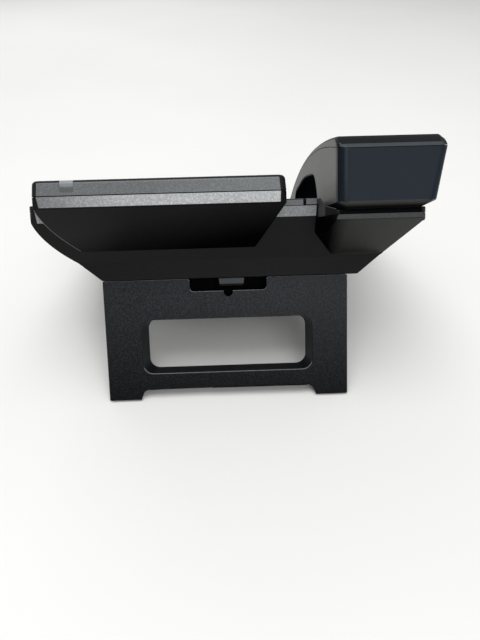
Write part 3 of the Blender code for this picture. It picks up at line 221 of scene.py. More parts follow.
def baked(holder: bpy.types.Object, *tools: bpy.types.Object) -> bpy.types.Mesh:
    """Turns an object with its modifiers into a plain mesh.

    Args:
        holder: The object, which is used up.
        *tools: What its modifiers read, used up as well.

    Returns:
        The mesh.
    """
    graph = bpy.context.evaluated_depsgraph_get()
    made = bpy.data.meshes.new_from_object(holder.evaluated_get(graph))
    for item in (holder, *tools):
        spent = item.data
        bpy.data.objects.remove(item)
        kept_in = bpy.data.meshes if isinstance(spent, bpy.types.Mesh) else bpy.data.curves
        kept_in.remove(spent)
    return made


class Form:
    """A closed mesh in the face frame, shaped by cutting, joining and rounding."""

    def __init__(self, mesh: bpy.types.Mesh) -> None:
        """Takes over a mesh."""
        self.mesh = mesh

    @classmethod
    def closed(cls, shape: bmesh.types.BMesh) -> "Form":
        """Turns an edited shape into a form with its faces outwards.

        Args:
            shape: The shape, which is used up.

        Returns:
            The form.
        """
        bmesh.ops.remove_doubles(shape, verts=shape.verts, dist=MERGE)
        bmesh.ops.recalc_face_normals(shape, faces=shape.faces)
        mesh = bpy.data.meshes.new("form")
        shape.to_mesh(mesh)
        shape.free()
        return cls(mesh)

    @classmethod
    def stacked(cls, levels: Iterable[tuple[Outline, float]], axis: Axis = Axis.Z, steps: int = ARC_STEPS,
                alike: bool = False) -> "Form":
        """Draws a form through outlines of equally many points, and closes both ends.

        Args:
            levels: The outlines from one end to the other, each with its place along the axis.
            axis: The axis.
            steps: Segments in a quarter turn.
            alike: Gives every round corner that many segments.

        Returns:
            The closed form.
        """
        shape = bmesh.new()
        loops = [[shape.verts.new(axis.place(point, along)) for point in outline.vertices(steps, alike)]
                 for outline, along in levels]
        shape.faces.new(loops[0][::-1])
        shape.faces.new(loops[-1])
        for low, high in zip(loops, loops[1:]):
            for i, here in enumerate(low):
                after = (i + 1) % len(low)
                shape.faces.new((here, low[after], high[after], high[i]))
        return cls.closed(shape)

    @classmethod
    def prism(cls, outline: Outline, axis: Axis, low: float, high: float) -> "Form":
        """Draws an outline out along an axis."""
        return cls.stacked([(outline, low), (outline, high)], axis)

    @classmethod
    def post(cls, x: float, y: float, radius: float, low: float, high: float) -> "Form":
        """A round post along z, or the cutter for a round hole."""
        return cls.prism(Outline.disc(x, y, radius), Axis.Z, low, high)

    @classmethod
    def gathered(cls, forms: Iterable["Form"]) -> "Form":
        """Puts forms that don't meet into one mesh.

        Args:
            forms: The forms.

        Returns:
            One form that holds them all.
        """
        shape = bmesh.new()
        for form in forms:
            shape.from_mesh(form.mesh)
        mesh = bpy.data.meshes.new("form")
        shape.to_mesh(mesh)
        shape.free()
        return cls(mesh)

    def _combined(self, others: Iterable["Form"], operation: str) -> "Form":
        """Applies one Boolean for each other form.

        Args:
            others: The other forms, which are used up.
            operation: Blender's name for the kind of Boolean.

        Returns:
            This form.
        """
        for other in others:
            holder, tool = placed("form", self.mesh), placed("tool", other.mesh)
            change = holder.modifiers.new(operation, "BOOLEAN")
            change.operation = operation
            change.solver = "EXACT"
            change.object = tool
            self.mesh = baked(holder, tool)
        return self

    def cut(self, *others: "Form") -> "Form":
        """Takes other forms away from this one."""
        return self._combined(others, "DIFFERENCE")

    def join(self, *others: "Form") -> "Form":
        """Adds other forms to this one."""
        return self._combined(others, "UNION")

    def keep(self, *others: "Form") -> "Form":
        """Keeps what this form shares with the others."""
        return self._combined(others, "INTERSECT")

    def rounded(self, radius: float, segments: int = 3, where: EdgeChooser | None = None,
                angle: float = 22.0) -> "Form":
        """Rounds the sharp edges.

        Args:
            radius: Width of the rounding on each side of an edge.
            segments: Faces across the rounding, 1 for a chamfer.
            where: Chooses edges by their middle; all sharp edges if left out.
            angle: Edges that turn by less than this many degrees stay.

        Returns:
            This form.
        """
        shape = bmesh.new()
        shape.from_mesh(self.mesh)
        bmesh.ops.dissolve_limit(shape, angle_limit=math.radians(FLAT), verts=shape.verts, edges=shape.edges)
        least = math.radians(angle)
        sharp = [e for e in shape.edges if len(e.link_faces) == 2 and e.calc_face_angle(0.0) > least
                 and (where is None or where((e.verts[0].co + e.verts[1].co) / 2))]
        bmesh.ops.bevel(shape, geom=sharp, offset=radius, offset_type="OFFSET", segments=segments,
                        profile=0.5, affect="EDGES", clamp_overlap=False, loop_slide=True)
        bmesh.ops.dissolve_degenerate(shape, dist=SLIVER, edges=shape.edges)
        shape.to_mesh(self.mesh)
        shape.free()
        return self

    def scored(self, axis: Axis, places: Sequence[float], where: FaceChooser) -> "Form":
        """Splits some faces across an axis, so that their parts can be painted apart.

        Args:
            axis: The axis.
            places: Where along it the faces are split.
            where: Chooses the faces.

        Returns:
            This form.
        """
        shape = bmesh.new()
        shape.from_mesh(self.mesh)
        for place in places:
            faces = [face for face in shape.faces if where(face.calc_center_median(), face.normal)]
            edges = {edge for face in faces for edge in face.edges}
            corners = {corner for edge in edges for corner in edge.verts}
            origin = Vector((0.0, 0.0))
            bmesh.ops.bisect_plane(shape, geom=[*corners, *edges, *faces], dist=MERGE,
                                   plane_co=axis.place(origin, place), plane_no=axis.place(origin, 1.0))
        shape.to_mesh(self.mesh)
        shape.free()
        return self

    def painted(self, index: int, where: FaceChooser) -> "Form":
        """Gives some faces another of the piece's finishes.

        Args:
            index: Number of the finish.
            where: Chooses faces by their middle and normal, in the face frame.

        Returns:
            This form.
        """
        for face in self.mesh.polygons:
            if where(face.center, face.normal):
                face.material_index = index
        return self


class Shader:
    """A node material under construction, with its nodes on Object coordinates."""

    def __init__(self, name: str) -> None:
        """Starts a material that holds one Principled shader.

        Args:
            name: The material's name.
        """
        self.material = bpy.data.materials.new(name)
        self.material.use_nodes = True
        self.tree = self.material.node_tree
        self.surface = self.tree.nodes["Principled BSDF"]
        self.place = self.add("ShaderNodeTexCoord").outputs["Object"]

    def add(self, kind: str, links: dict[str, Socket] | None = None, **settings: object) -> bpy.types.Node:
        """Adds a node.

        Args:
            kind: Blender's name for the node.
            links: Sockets to link in, by the name of the input.
            **settings: Values of inputs, with spaces as underscores, or else of properties.

        Returns:
            The node.
        """
        node = self.tree.nodes.new(kind)
        for key, value in settings.items():
            socket = node.inputs.get(key.replace("_", " "))
            if socket is None:
                setattr(node, key, value)
            else:
                socket.default_value = value
        for key, source in (links or {}).items():
            self.tree.links.new(source, node.inputs[key])
        return node

    def noise(self, size: float, detail: float = 2.0, stretch: Triple = (1, 1, 1)) -> Socket:
        """A noise around a half, its grains of one width, with finer octaves and a scale along each axis."""
        spot = self.add("ShaderNodeMapping", {"Vector": self.place}, Scale=stretch).outputs[0]
        return self.add("ShaderNodeTexNoise", {"Vector": spot}, Scale=1 / size, Detail=detail).outputs["Fac"]

    def ramp(self, source: Socket, low: float, high: float, dark: Colour, light: Colour) -> Socket:
        """Turns a number into a colour between two.

        Args:
            source: The number.
            low: Number at which the first colour ends.
            high: Number at which the second colour starts.
            dark: First colour.
            light: Second colour.

        Returns:
            The colour.
        """
        node = self.add("ShaderNodeValToRGB", {"Fac": source})
        for stop, spot, colour in zip(node.color_ramp.elements, (low, high), (dark, light)):
            stop.position = spot
            stop.color = (*colour, 1.0)
        return node.outputs["Color"]

    def span(self, source: Socket, low: float, high: float) -> Socket:
        """Spreads a noise over a range."""
        return self.add("ShaderNodeMapRange", {"Value": source}, From_Min=NOISE[0], From_Max=NOISE[1],
                        To_Min=low, To_Max=high).outputs[0]

    def shaded(self, colour: Socket, spread: float, size: float) -> Socket:
        """Darkens and lightens a colour by a share of it, in patches of one width."""
        broad = self.ramp(self.noise(size, 3.0), *SOFT, (1 - spread,) * 3, (1 + spread,) * 3)
        return self.times(colour, broad)

    def times(self, colour: Socket, factor: Socket) -> Socket:
        """Multiplies a colour.

        Args:
            colour: The colour.
            factor: Another colour, or a number.

        Returns:
            The product.
        """
        mix = self.add("ShaderNodeMix", data_type="RGBA", blend_type="MULTIPLY")
        mix.inputs[0].default_value = 1.0
        self.tree.links.new(colour, mix.inputs[6])
        self.tree.links.new(factor, mix.inputs[7])
        return mix.outputs[2]

    def level(self, fade: "Fade") -> Socket:
        """How light a fading finish is at each place.

        Args:
            fade: The fade.

        Returns:
            A number from the fade's share up to one.
        """
        reach = self.add("ShaderNodeVectorMath", {"Vector": self.place}, operation="DOT_PRODUCT")
        reach.inputs[1].default_value = fade.along
        return self.add("ShaderNodeMapRange", {"Value": reach.outputs["Value"]}, From_Min=fade.dark,
                        From_Max=fade.light, To_Min=fade.share, To_Max=1.0).outputs[0]

    def relief(self, height: Socket, depth: float, strength: float = 0.5) -> None:
        """Gives the surface the relief of a pattern, a share of whose depth shows."""
        bump = self.add("ShaderNodeBump", {"Height": height}, Strength=strength, Distance=depth)
        self.tree.links.new(bump.outputs[0], self.surface.inputs["Normal"])

    def feed(self, **sources: Socket) -> None:
        """Links sockets to the shader's inputs, with spaces in their names as underscores."""
        for key, source in sources.items():
            self.tree.links.new(source, self.surface.inputs[key.replace("_", " ")])

    def fix(self, **values: float | tuple[float, ...]) -> None:
        """Sets constant values on the shader's inputs, with spaces in their names as underscores."""
        for key, value in values.items():
            self.surface.inputs[key.replace("_", " ")].default_value = value


@dataclass(frozen=True)
class Fade:
    """How a finish darkens along a direction: painted shade, where less light reaches, as in the lee of a
    piece.
    """

    along: Triple
    dark: float
    light: float
    share: float


@dataclass(frozen=True)
class Finish:
    """A finish of the phone, whose kind sets the nodes of its material."""

    name: str

    def material(self) -> bpy.types.Material:
        """Builds the node material.

        Returns:
            The material.
        """
        shader = Shader(self.name)
        self.dress(shader)
        return shader.material

    def dress(self, shader: Shader) -> None:
        """Sets the nodes, which each kind of finish does in its own way."""
        raise NotImplementedError


@dataclass(frozen=True)
class MouldedPlastic(Finish):
    """Plastic from a textured mould: a dark ground with lighter flecks and a fine relief."""

    ground: Colour
    fleck: Colour
    roughness: float
    grain: float = 0.0007
    depth: float = 0.00006
    strength: float = 0.5
    gloss: float = 0.2
    fade: Fade | None = None

    def dress(self, shader: Shader) -> None:
        """Sets the nodes.

        Args:
            shader: The material under construction.
        """
        grain = shader.noise(self.grain)
        colour = shader.shaded(shader.ramp(grain, 0.42, 0.66, self.ground, self.fleck), 0.07, 0.045)
        shader.fix(Specular_IOR_Level=self.gloss)
        # Painted shade: the fade darkens the colour and dims the gloss along its direction.
        if self.fade:
            level = shader.level(self.fade)
            colour = shader.times(colour, level)
            shader.feed(Specular_IOR_Level=shader.add("ShaderNodeMapRange", {"Value": level},
                                                      To_Max=self.gloss).outputs[0])
        shader.feed(Base_Color=colour,
                    Roughness=shader.span(grain, self.roughness - 0.05, self.roughness + 0.06))
        shader.relief(grain, self.depth, self.strength)


@dataclass(frozen=True)
class PrintedInk(Finish):
    """Legend ink with a slightly uneven cover."""

    colour: Colour

    def dress(self, shader: Shader) -> None:
        """Sets the nodes.

        Args:
            shader: The material under construction.
        """
        cover = shader.noise(0.0004)
        faded = tuple(0.82 * c for c in self.colour)
        shader.feed(Base_Color=shader.ramp(cover, 0.35, 0.60, faded, self.colour),
                    Roughness=shader.span(cover, 0.48, 0.60))


@dataclass(frozen=True)
class ClearPlastic(Finish):
    """Glossy window or lens plastic with faint smears."""

    colour: Colour
    roughness: float
    scatter: float = 0.0

    def dress(self, shader: Shader) -> None:
        """Sets the nodes.

        Args:
            shader: The material under construction.
        """
        smear = shader.noise(0.018, 4.0)
        light = tuple(1.18 * c for c in self.colour)
        shader.feed(Base_Color=shader.ramp(smear, *SOFT, self.colour, light),
                    Roughness=shader.span(smear, 0.7 * self.roughness, 1.3 * self.roughness))
        shader.fix(Coat_Weight=0.4, Coat_Roughness=0.05, Subsurface_Weight=self.scatter)
        if self.scatter:
            shader.fix(Subsurface_Radius=(0.0012, 0.0012, 0.0012), Subsurface_Scale=1.0)


@dataclass(frozen=True)
class LcdGlass(Finish):
    """A switched-off dot display: grey glass with a fine grid of dots."""

    ground: Colour
    line: Colour
    pitch: float
    lean: float

    def dress(self, shader: Shader) -> None:
        """Sets the nodes.

        Args:
            shader: The material under construction.
        """
        flat = shader.add("ShaderNodeMapping", {"Vector": shader.place}, Rotation=(-self.lean, 0.0, 0.0))
        dots = shader.add("ShaderNodeTexBrick", {"Vector": flat.outputs[0]}, Scale=1.0, offset=0.0,
                          Brick_Width=self.pitch, Row_Height=self.pitch, Mortar_Size=self.pitch / 9,
                          Color1=(*self.ground, 1.0), Color2=(*(1.06 * c for c in self.ground), 1.0),
                          Mortar=(*self.line, 1.0))
        shader.feed(Base_Color=dots.outputs["Color"], Roughness=shader.span(shader.noise(0.02), 0.10, 0.16))
        shader.fix(Coat_Weight=0.5, Coat_Roughness=0.04)


@dataclass(frozen=True)
class Rubber(Finish):
    """Matt rubber with a fine dusty grain."""

    ground: Colour
    dust: Colour

    def dress(self, shader: Shader) -> None:
        """Sets the nodes.

        Args:
            shader: The material under construction.
        """
        grain = shader.noise(0.0009, 3.0)
        colour = shader.ramp(grain, 0.45, 0.75, self.ground, self.dust)
        shader.feed(Base_Color=shader.shaded(colour, 0.1, 0.012), Roughness=shader.span(grain, 0.78, 0.92))
        shader.relief(grain, 0.00008)


@dataclass(frozen=True)
class Metal(Finish):
    """Drawn or plated metal with fine streaks along one axis."""

    colour: Colour
    roughness: float
    streak: Triple = (1.0, 1.0, 0.1)

    def dress(self, shader: Shader) -> None:
        """Sets the nodes.

        Args:
            shader: The material under construction.
        """
        streaks = shader.noise(0.0005, 3.0, self.streak)
        dull = tuple(0.78 * c for c in self.colour)
        shader.feed(Base_Color=shader.ramp(streaks, *SOFT, dull, self.colour),
                    Roughness=shader.span(streaks, self.roughness - 0.08, self.roughness + 0.1))
        shader.relief(streaks, 0.00003, 0.3)
        shader.fix(Metallic=1.0)


@dataclass(frozen=True)
class CircuitBoard(Finish):
    """Green solder mask over rows of copper tracks."""

    mask: Colour
    track: Colour

    def dress(self, shader: Shader) -> None:
        """Sets the nodes.

        Args:
            shader: The material under construction.
        """
        tracks = shader.add("ShaderNodeTexBrick", {"Vector": shader.place}, Scale=1.0, Brick_Width=0.011,
                            Row_Height=0.0021, Mortar_Size=0.0003, Color1=(*self.mask, 1.0),
                            Color2=(*(1.15 * c for c in self.mask), 1.0), Mortar=(*self.track, 1.0),
                            offset=0.37)
        grain = shader.noise(0.0012)
        shader.feed(Base_Color=shader.shaded(tracks.outputs["Color"], 0.08, 0.02),
                    Roughness=shader.span(grain, 0.34, 0.46))
        shader.relief(tracks.outputs["Fac"], 0.00004)


class Skin(Enum):
    """Every finish of the phone, each made once."""

    SHELL = MouldedPlastic("shell_dark_plastic", (0.0042, 0.0043, 0.0043), (0.0066, 0.0067, 0.0067), 0.50,
                           gloss=0.13)
    # The wing: the shell plastic drawn lighter and warmer as a painted reflection, with painted shade that
    # darkens it towards its inner side.
    WING = MouldedPlastic("wing_dark_plastic", (0.0080, 0.0077, 0.0072), (0.0120, 0.0116, 0.0110), 0.50,
                          fade=Fade((-1.0, 0.0, 0.113), 0.0622, 0.0700, 0.06))
    FACE = MouldedPlastic("face_grey_plastic", (0.030, 0.031, 0.033), (0.046, 0.048, 0.050), 0.50)
    BEZEL = MouldedPlastic("bezel_dark_plastic", (0.0075, 0.0079, 0.0084), (0.0115, 0.0120, 0.0126), 0.48,
                           gloss=0.12)
    # Painted reflection: the dark plastic drawn mid-grey on the wing's rim and on part of the cradle's inner
    # wall, where they catch the light.
    BROW = MouldedPlastic("wing_rim_plastic", (0.036, 0.038, 0.040), (0.052, 0.054, 0.057), 0.46)
    # Painted reflection on the rear strips of faceplate and cradle, and a painted highlight along the curved
    # edge of the display's back.
    RIM = MouldedPlastic("mid_rim_plastic", (0.079, 0.083, 0.087), (0.119, 0.124, 0.129), 0.46, gloss=0.4)
    # Painted reflection on the bezel's rear strip and brow.
    TRIM = MouldedPlastic("grey_trim_plastic", (0.084, 0.091, 0.096), (0.128, 0.137, 0.144), 0.42, gloss=0.5)
    # Painted reflection on the lower shell's rear strip.
    PALE = MouldedPlastic("pale_trim_plastic", (0.180, 0.186, 0.193), (0.294, 0.302, 0.311), 0.42, gloss=0.5)
    # Painted reflection on the display back's rear strip, fading darker towards its right end.
    BRIGHT = MouldedPlastic("bright_trim_plastic", (0.325, 0.338, 0.346), (0.515, 0.530, 0.540), 0.40,
                            gloss=0.5, fade=Fade((-1.0, 0.0, 0.0), -0.094, -0.047, 0.42))
    # The display back's own black, with painted shade that darkens it lower down.
    HEAD = MouldedPlastic("head_black_plastic", (0.0050, 0.0050, 0.0050), (0.0072, 0.0072, 0.0073), 0.40,
                          depth=SMOOTH, gloss=0.08, fade=Fade((0.3, 0.0, 1.0), 0.086, 0.118, 0.10))
    # The stand's own colour, with painted shade that darkens it towards the desk.
    STAND = MouldedPlastic("stand_dark_plastic", (0.0032, 0.0043, 0.0056), (0.0200, 0.0244, 0.0300), 0.50,
                           grain=0.0008, depth=0.00010, fade=Fade((0.0, 0.0, 1.0), 0.002, 0.052, 0.36))
    # Painted highlight on edges that face the light.
    EDGE = MouldedPlastic("worn_edge_plastic", (0.130, 0.136, 0.142), (0.200, 0.208, 0.216), 0.46)
    # Painted shadow: near-black for deep recesses and for the lip under the handset.
    NOTCH = MouldedPlastic("notch_black_plastic", (0.0006, 0.0006, 0.0007), (0.0010, 0.0010, 0.0011), 0.60,
                           gloss=0.03)
    LATCH = MouldedPlastic("latch_grey_plastic", (0.031, 0.037, 0.041), (0.039, 0.046, 0.050), 0.48,
                           depth=0.00003)
    # The handset's next finishes are lit and shaded copies of one plastic, each chosen by the way a face
    # points: painted light. This base tone has painted shade towards the inner side.
    HANDSET = MouldedPlastic("handset_dark_plastic", (0.0078, 0.0122, 0.0182), (0.0094, 0.0142, 0.0206), 0.42,
                             depth=SMOOTH, gloss=0.1, fade=Fade((-1.0, 0.0, 0.0), 0.0518, 0.0572, 0.55))
    # Painted highlight on the rounded inner edge of the ear end, weaker lower down.
    GLEAM = MouldedPlastic("handset_edge_plastic", (0.0158, 0.0222, 0.0288), (0.0182, 0.0252, 0.0322), 0.42,
                           depth=SMOOTH, gloss=0.1, fade=Fade((0.0, 0.0, 1.0), 0.1165, 0.1280, 0.65))
    # Painted reflection on the inner side.
    GRIP = MouldedPlastic("handset_side_plastic", (0.058, 0.058, 0.057), (0.070, 0.070, 0.069), 0.42,
                          depth=SMOOTH, gloss=0.3)
    # Painted shade on the top.
    CROWN = MouldedPlastic("handset_back_plastic", (0.0050, 0.0060, 0.0070), (0.0064, 0.0076, 0.0088), 0.46,
                           depth=SMOOTH, gloss=0.06)
    # Painted highlight on the band at the top of the ear end.
    BAND = MouldedPlastic("handset_band_plastic", (0.030, 0.037, 0.042), (0.036, 0.044, 0.050), 0.42,
                          depth=SMOOTH)
    # Painted reflection on the belly under the ear end, fading to painted shadow below.
    BELLY = MouldedPlastic("handset_belly_plastic", (0.023, 0.023, 0.022), (0.029, 0.029, 0.028), 0.42,
                           depth=SMOOTH, fade=Fade((0.0, 0.0, 1.0), 0.1158, 0.1177, 0.08))
    KEY = MouldedPlastic("key_grey_plastic", (0.026, 0.027, 0.029), (0.034, 0.035, 0.037), 0.46,
                         depth=SMOOTH)
    INK = PrintedInk("legend_ink", (0.72, 0.73, 0.74))
    LENS = ClearPlastic("lens_gloss", (0.006, 0.0065, 0.007), 0.07)
    GLASS = LcdGlass("display_glass", (0.17, 0.19, 0.17), (0.13, 0.15, 0.13), 0.00045, math.radians(31))
    LAMP = ClearPlastic("lamp_pale_lens", (0.146, 0.156, 0.165), 0.34, 0.25)
    # Painted shadow below the message lamp.
    LAMP_SHADOW = MouldedPlastic("lamp_covered_lens", (0.074, 0.078, 0.082), (0.092, 0.097, 0.102), 0.48)
    PAD = Rubber("pad_rubber", (0.010, 0.010, 0.010), (0.026, 0.026, 0.026))
    MAT = Rubber("keypad_silicone", (0.28, 0.29, 0.30), (0.36, 0.37, 0.38))
    STEEL = Metal("screw_steel", (0.56, 0.56, 0.57), 0.34)
    CAPSULE = Metal("capsule_metal", (0.30, 0.30, 0.31), 0.40)
    GOLD = Metal("contact_gold", (0.83, 0.61, 0.26), 0.26)
    BOARD = CircuitBoard("board_green", (0.012, 0.075, 0.026), (0.030, 0.140, 0.050))
    JACK = MouldedPlastic("jack_black_plastic", (0.008, 0.008, 0.008), (0.011, 0.011, 0.011), 0.36,
                          depth=0.00001)

    def material(self) -> bpy.types.Material:
        """Gives the finish's material, made on first use."""
        return bpy.data.materials.get(self.value.name) or self.value.material()


@dataclass(frozen=True)
class FaceFrame:
    """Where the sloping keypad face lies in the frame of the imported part."""

    matrix: Matrix

    @classmethod
    def from_joints(cls, joints: Sequence[dict], rocker: Vector) -> "FaceFrame":
        """Reads the face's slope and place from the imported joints.

        Args:
            joints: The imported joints.
            rocker: Where the volume rocker turns, in the face frame.

        Returns:
            The face frame.
        """
        named = {joint["name"]: joint for joint in joints}
        out = Vector(named["handset_lift"]["axis"]).normalized()
        right = Vector((1.0, 0.0, 0.0))
        turn = Matrix((right, out.cross(right), out)).transposed()
        origin = Vector(named["volume_rock"]["pos_m"]) - turn @ rocker
        return cls(Matrix.Translation(origin) @ turn.to_4x4())

    @property
    def lean(self) -> float:
        """Slope of the face, in radians."""
        return math.asin(self.matrix[2][1])


@dataclass
class SubAssembly:
    """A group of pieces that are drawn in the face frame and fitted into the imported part."""

    face: FaceFrame

    def fit(self, form: Form, name: str, body: str, slot: str, skins: Sequence[Skin],
            replaces: Sequence[str] = ()) -> None:
        """Makes a form a finished piece of the phone.

        Args:
            form: The form, which is used up.
            name: The piece's name.
            body: The body that it rides on.
            slot: The record's material slot; not used.
            skins: Its finishes, in the order of the faces' numbers.
            replaces: The CAD nodes that it stands for; the node of its own name if left out.
        """
        form.mesh.transform(self.face.matrix)
        numbers = [face.material_index for face in form.mesh.polygons]
        form.mesh.materials.clear()
        for skin in skins:
            form.mesh.materials.append(skin.material())
        form.mesh.polygons.foreach_set("material_index", numbers)
        form.mesh.shade_smooth()
        form.mesh.set_sharp_from_angle(angle=math.radians(CREASE))
        holder = placed("form", form.mesh)
        even = holder.modifiers.new("even_normals", "WEIGHTED_NORMAL")
        even.keep_sharp = True
        mesh = baked(holder)
        stands_for = replaces or ([name] if name in frame["nodes"] else [])
        if name in frame["nodes"]:
            name += "_shape"
        mesh.name = name
        piece = placed(name, mesh)
        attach(piece, body)
        if stands_for:
            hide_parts(*stands_for)
        LOG.info("%s: %d faces on %s", name, len(mesh.polygons), body)


class Mark(Enum):
    """What is printed on a key, apart from a digit."""

    NONE = ""
    UP = "up"
    LEFT = "left"
    DOWN = "down"
    RIGHT = "right"
    DASH = "dash"
    DOT = "dot"
    SPEAKER = "speaker"
    MUTE = "mute"
    ROCKER = "rocker"


@dataclass(frozen=True)
class Key:
    """One key: its name, middle, size and legend."""

    name: str
    x: float
    y: float
    width: float
    height: float
    mark: Mark = Mark.NONE
    digit: str = ""

    def hole(self, low: float, high: float, corner: float) -> Form:
        """Cutter for the hole that the key stands in, between two levels."""
        outline = Outline.box(self.x, self.y, self.width + 2 * GAP, self.height + 2 * GAP, corner + GAP)
        return Form.prism(outline, Axis.Z, low, high)


@dataclass
class BaseHousing(SubAssembly):
    """The lower shell and the faceplate, with the wing behind the base that carries the handset."""

    right: float = 0.1024
    left: float = 0.0997
    length: float = 0.195
    front_depth: float = 0.0088
    seam: float = 0.0038
    rim_height: float = 0.0053
    rim_inset: float = 0.0026
    waist_depth: float = 0.031
    waist_setback: float = 0.017
    depth: float = 0.0415
    heel_setback: float = 0.019
    waist_right: float = 0.0825
    waist_left: float = 0.0900
    floor_right: float = 0.0702
    floor_left: float = 0.0766
    flank_depth: float = 0.0050
    flank_bulge: float = 0.0180
    rear_corner: float = 0.005
    front_corner: float = 0.008
    joint_corner: float = 0.001
    wing_reach: float = 0.025
    wing_corner: float = 0.003
    wing_inner: float = 0.050
    wing_taper: float = 0.0053
    wing_seam: float = 0.0104
    wing_rim: float = 0.0025
    wing_flank: float = 0.013
    wing_crease: float = 0.0300
    wing_shoulder: float = 0.017
    wing_slant: float = 0.011
    wing_step: tuple[float, float] = (0.0017, 0.0012)
    split: float = 0.0434
    nose: float = 0.0100
    pad_proud: float = 0.0012
    screw_left: float = 0.0375
    screw_right: float = 0.0620
    screw_rows: tuple[float, float] = (0.0900, 0.1520)
    screw_radius: float = 0.0015
    screw_head: float = 0.0030
    screw_sink: float = 0.0024
    boss_radius: float = 0.0046
    boss_height: float = 0.0055
    edge: float = 0.0006
    edge_angle: float = 10.0

    @property
    def floor_top(self) -> float:
        """Inner face of the underside."""
        return -self.depth + WALL

    @property
    def wing_rear(self) -> float:
        """Rear edge of the wing."""
        return self.length + self.wing_reach

    def side(self) -> Outline:
        """Side outline of the base (y, z), open above the face."""
        facet = self.front_depth - self.pad_proud / math.cos(self.face.lean)
        return Outline.of([
            (0, HIGH), (0, -facet), ((self.depth - facet) / math.tan(self.face.lean), -self.depth),
            (self.length - self.heel_setback, -self.depth),
            (self.length - self.waist_setback, -self.waist_depth),
            (self.length - self.rim_inset, -self.seam - self.rim_height), (self.length, -self.seam),
            (self.length, HIGH)])

    def cross(self) -> Outline:
        """Cross outline of the base (x, z): a curved right flank and a two-step left one.

        Returns:
            The outline.
        """
        spread = BEYOND / (self.depth - self.waist_depth)
        flank = bow((self.right, -self.flank_depth), (self.right, -self.flank_bulge),
                    (self.waist_right, -self.waist_depth))
        return Outline.of([
            (self.right, HIGH), *flank,
            (self.floor_right - spread * (self.waist_right - self.floor_right), -self.depth - BEYOND),
            (-self.floor_left + spread * (self.waist_left - self.floor_left), -self.depth - BEYOND),
            (self.wing_step[0] - self.waist_left, -self.wing_crease - self.wing_step[1]),
            (-self.waist_left, -self.wing_crease), (-self.left, -self.wing_flank), (-self.left, HIGH)])

    def plan(self) -> Outline:
        """Plan of the base with the wing (x, y)."""
        return Outline.of([(self.right, 0, self.front_corner), (self.right, self.length, self.rear_corner),
                           *self.wing_plan()])

    def wing_plan(self) -> list[Corner]:
        """Corners of the base's left side (x, y), from the root of the wing to the front."""
        root = -self.wing_inner
        return [(root, self.length), (root - self.wing_taper, self.wing_rear, self.wing_corner),
                (-self.left, self.wing_rear, self.rear_corner), (-self.left, 0, self.front_corner)]

    def wing_side(self) -> Outline:
        """Side outline of the wing (y, z)."""
        inside = self.length - 2 * self.wing_reach
        return Outline.of([
            (inside, HIGH), (inside, -self.wing_crease),
            (self.length - self.waist_setback, -self.wing_crease),
            (self.wing_rear - self.wing_rim / 2, -self.wing_seam - self.wing_rim),
            (self.wing_rear, -self.wing_seam), (self.wing_rear, HIGH)])

    def wing_cross(self) -> Outline:
        """Cross outline of the wing (x, z)."""
        inner, foot = -self.wing_inner, -self.wing_inner - self.wing_slant
        return Outline.of([
            (inner, HIGH), (inner, -self.wing_shoulder), (foot, -self.wing_crease),
            (foot, -self.wing_crease - BEYOND), (-self.left - BEYOND, -self.wing_crease - BEYOND),
            (-self.left - BEYOND, HIGH)])

    def block(self, thickness: float) -> Form:
        """The base with its wing as one block.

        Args:
            thickness: How far it is drawn in, a wall for the hollow.

        Returns:
            The block, open upwards to a height clear of the face.
        """
        wide, far = self.right + BEYOND, self.wing_rear + BEYOND
        wing = Form.prism(self.wing_side().inset(thickness), Axis.X, -wide, wide)
        wing.keep(Form.prism(self.wing_cross().inset(thickness), Axis.Y, -BEYOND, far))
        made = Form.prism(self.side().inset(thickness), Axis.X, -wide, wide).join(wing)
        return made.keep(Form.prism(self.cross().inset(thickness), Axis.Y, -BEYOND, far),
                         Form.prism(self.plan().inset(thickness), Axis.Z, -DEEP, DEEP))

    def cradle_joint(self, rise: float) -> Outline:
        """Everything above the joint of cradle and lower shell (y, z), with the line lifted a little."""
        far = self.wing_rear + BEYOND
        return Outline.of([
            (-BEYOND, HIGH + BEYOND), (-BEYOND, -self.seam + rise), (0, -self.seam + rise),
            (self.nose, -self.wing_seam + rise), (far, -self.wing_seam + rise), (far, HIGH + BEYOND)])

    def screw_places(self) -> list[tuple[float, float]]:
        """Middles of the four case screws."""
        return [(x, y) for y in self.screw_rows for x in (-self.screw_left, self.screw_right)]

    def build_shell(self, gates: Sequence[Form], lugs: Sequence[Form], bores: Sequence[Form]) -> None:
        """Makes the lower shell.

        Args:
            gates: Cutters for what passes through the underside.
            lugs: Hinge lugs under it.
            bores: The lugs' bores.
        """
        wide, far, under = self.right + BEYOND, self.wing_rear + BEYOND, -self.depth - BEYOND
        shell = self.block(0.0).rounded(self.edge, 3, lambda at: at.z < BEYOND, self.edge_angle)
        shell.cut(self.block(WALL))
        above = Outline.of([(-wide, HIGH + BEYOND), (-wide, -self.seam), (wide, -self.seam),
                            (wide, HIGH + BEYOND)])
        shell.cut(Form.prism(above, Axis.Y, -BEYOND, far),
                  Form.prism(self.cradle_joint(0.0), Axis.X, -wide - BEYOND, -self.wing_inner))
        top = self.floor_top + self.boss_height
        for x, y in self.screw_places():
            shell.join(Form.post(x, y, self.boss_radius, self.floor_top - WALL / 2, top))
            shell.cut(Form.post(x, y, self.screw_radius + GAP, under, top + BEYOND),
                      Form.post(x, y, self.screw_head + GAP, under, -self.depth + self.screw_sink))
        shell.join(*lugs).cut(*bores, *gates)
        low, wing_low = -self.seam - self.rim_height, -self.wing_seam - self.wing_rim
        turn = self.right - 0.8 * self.rear_corner

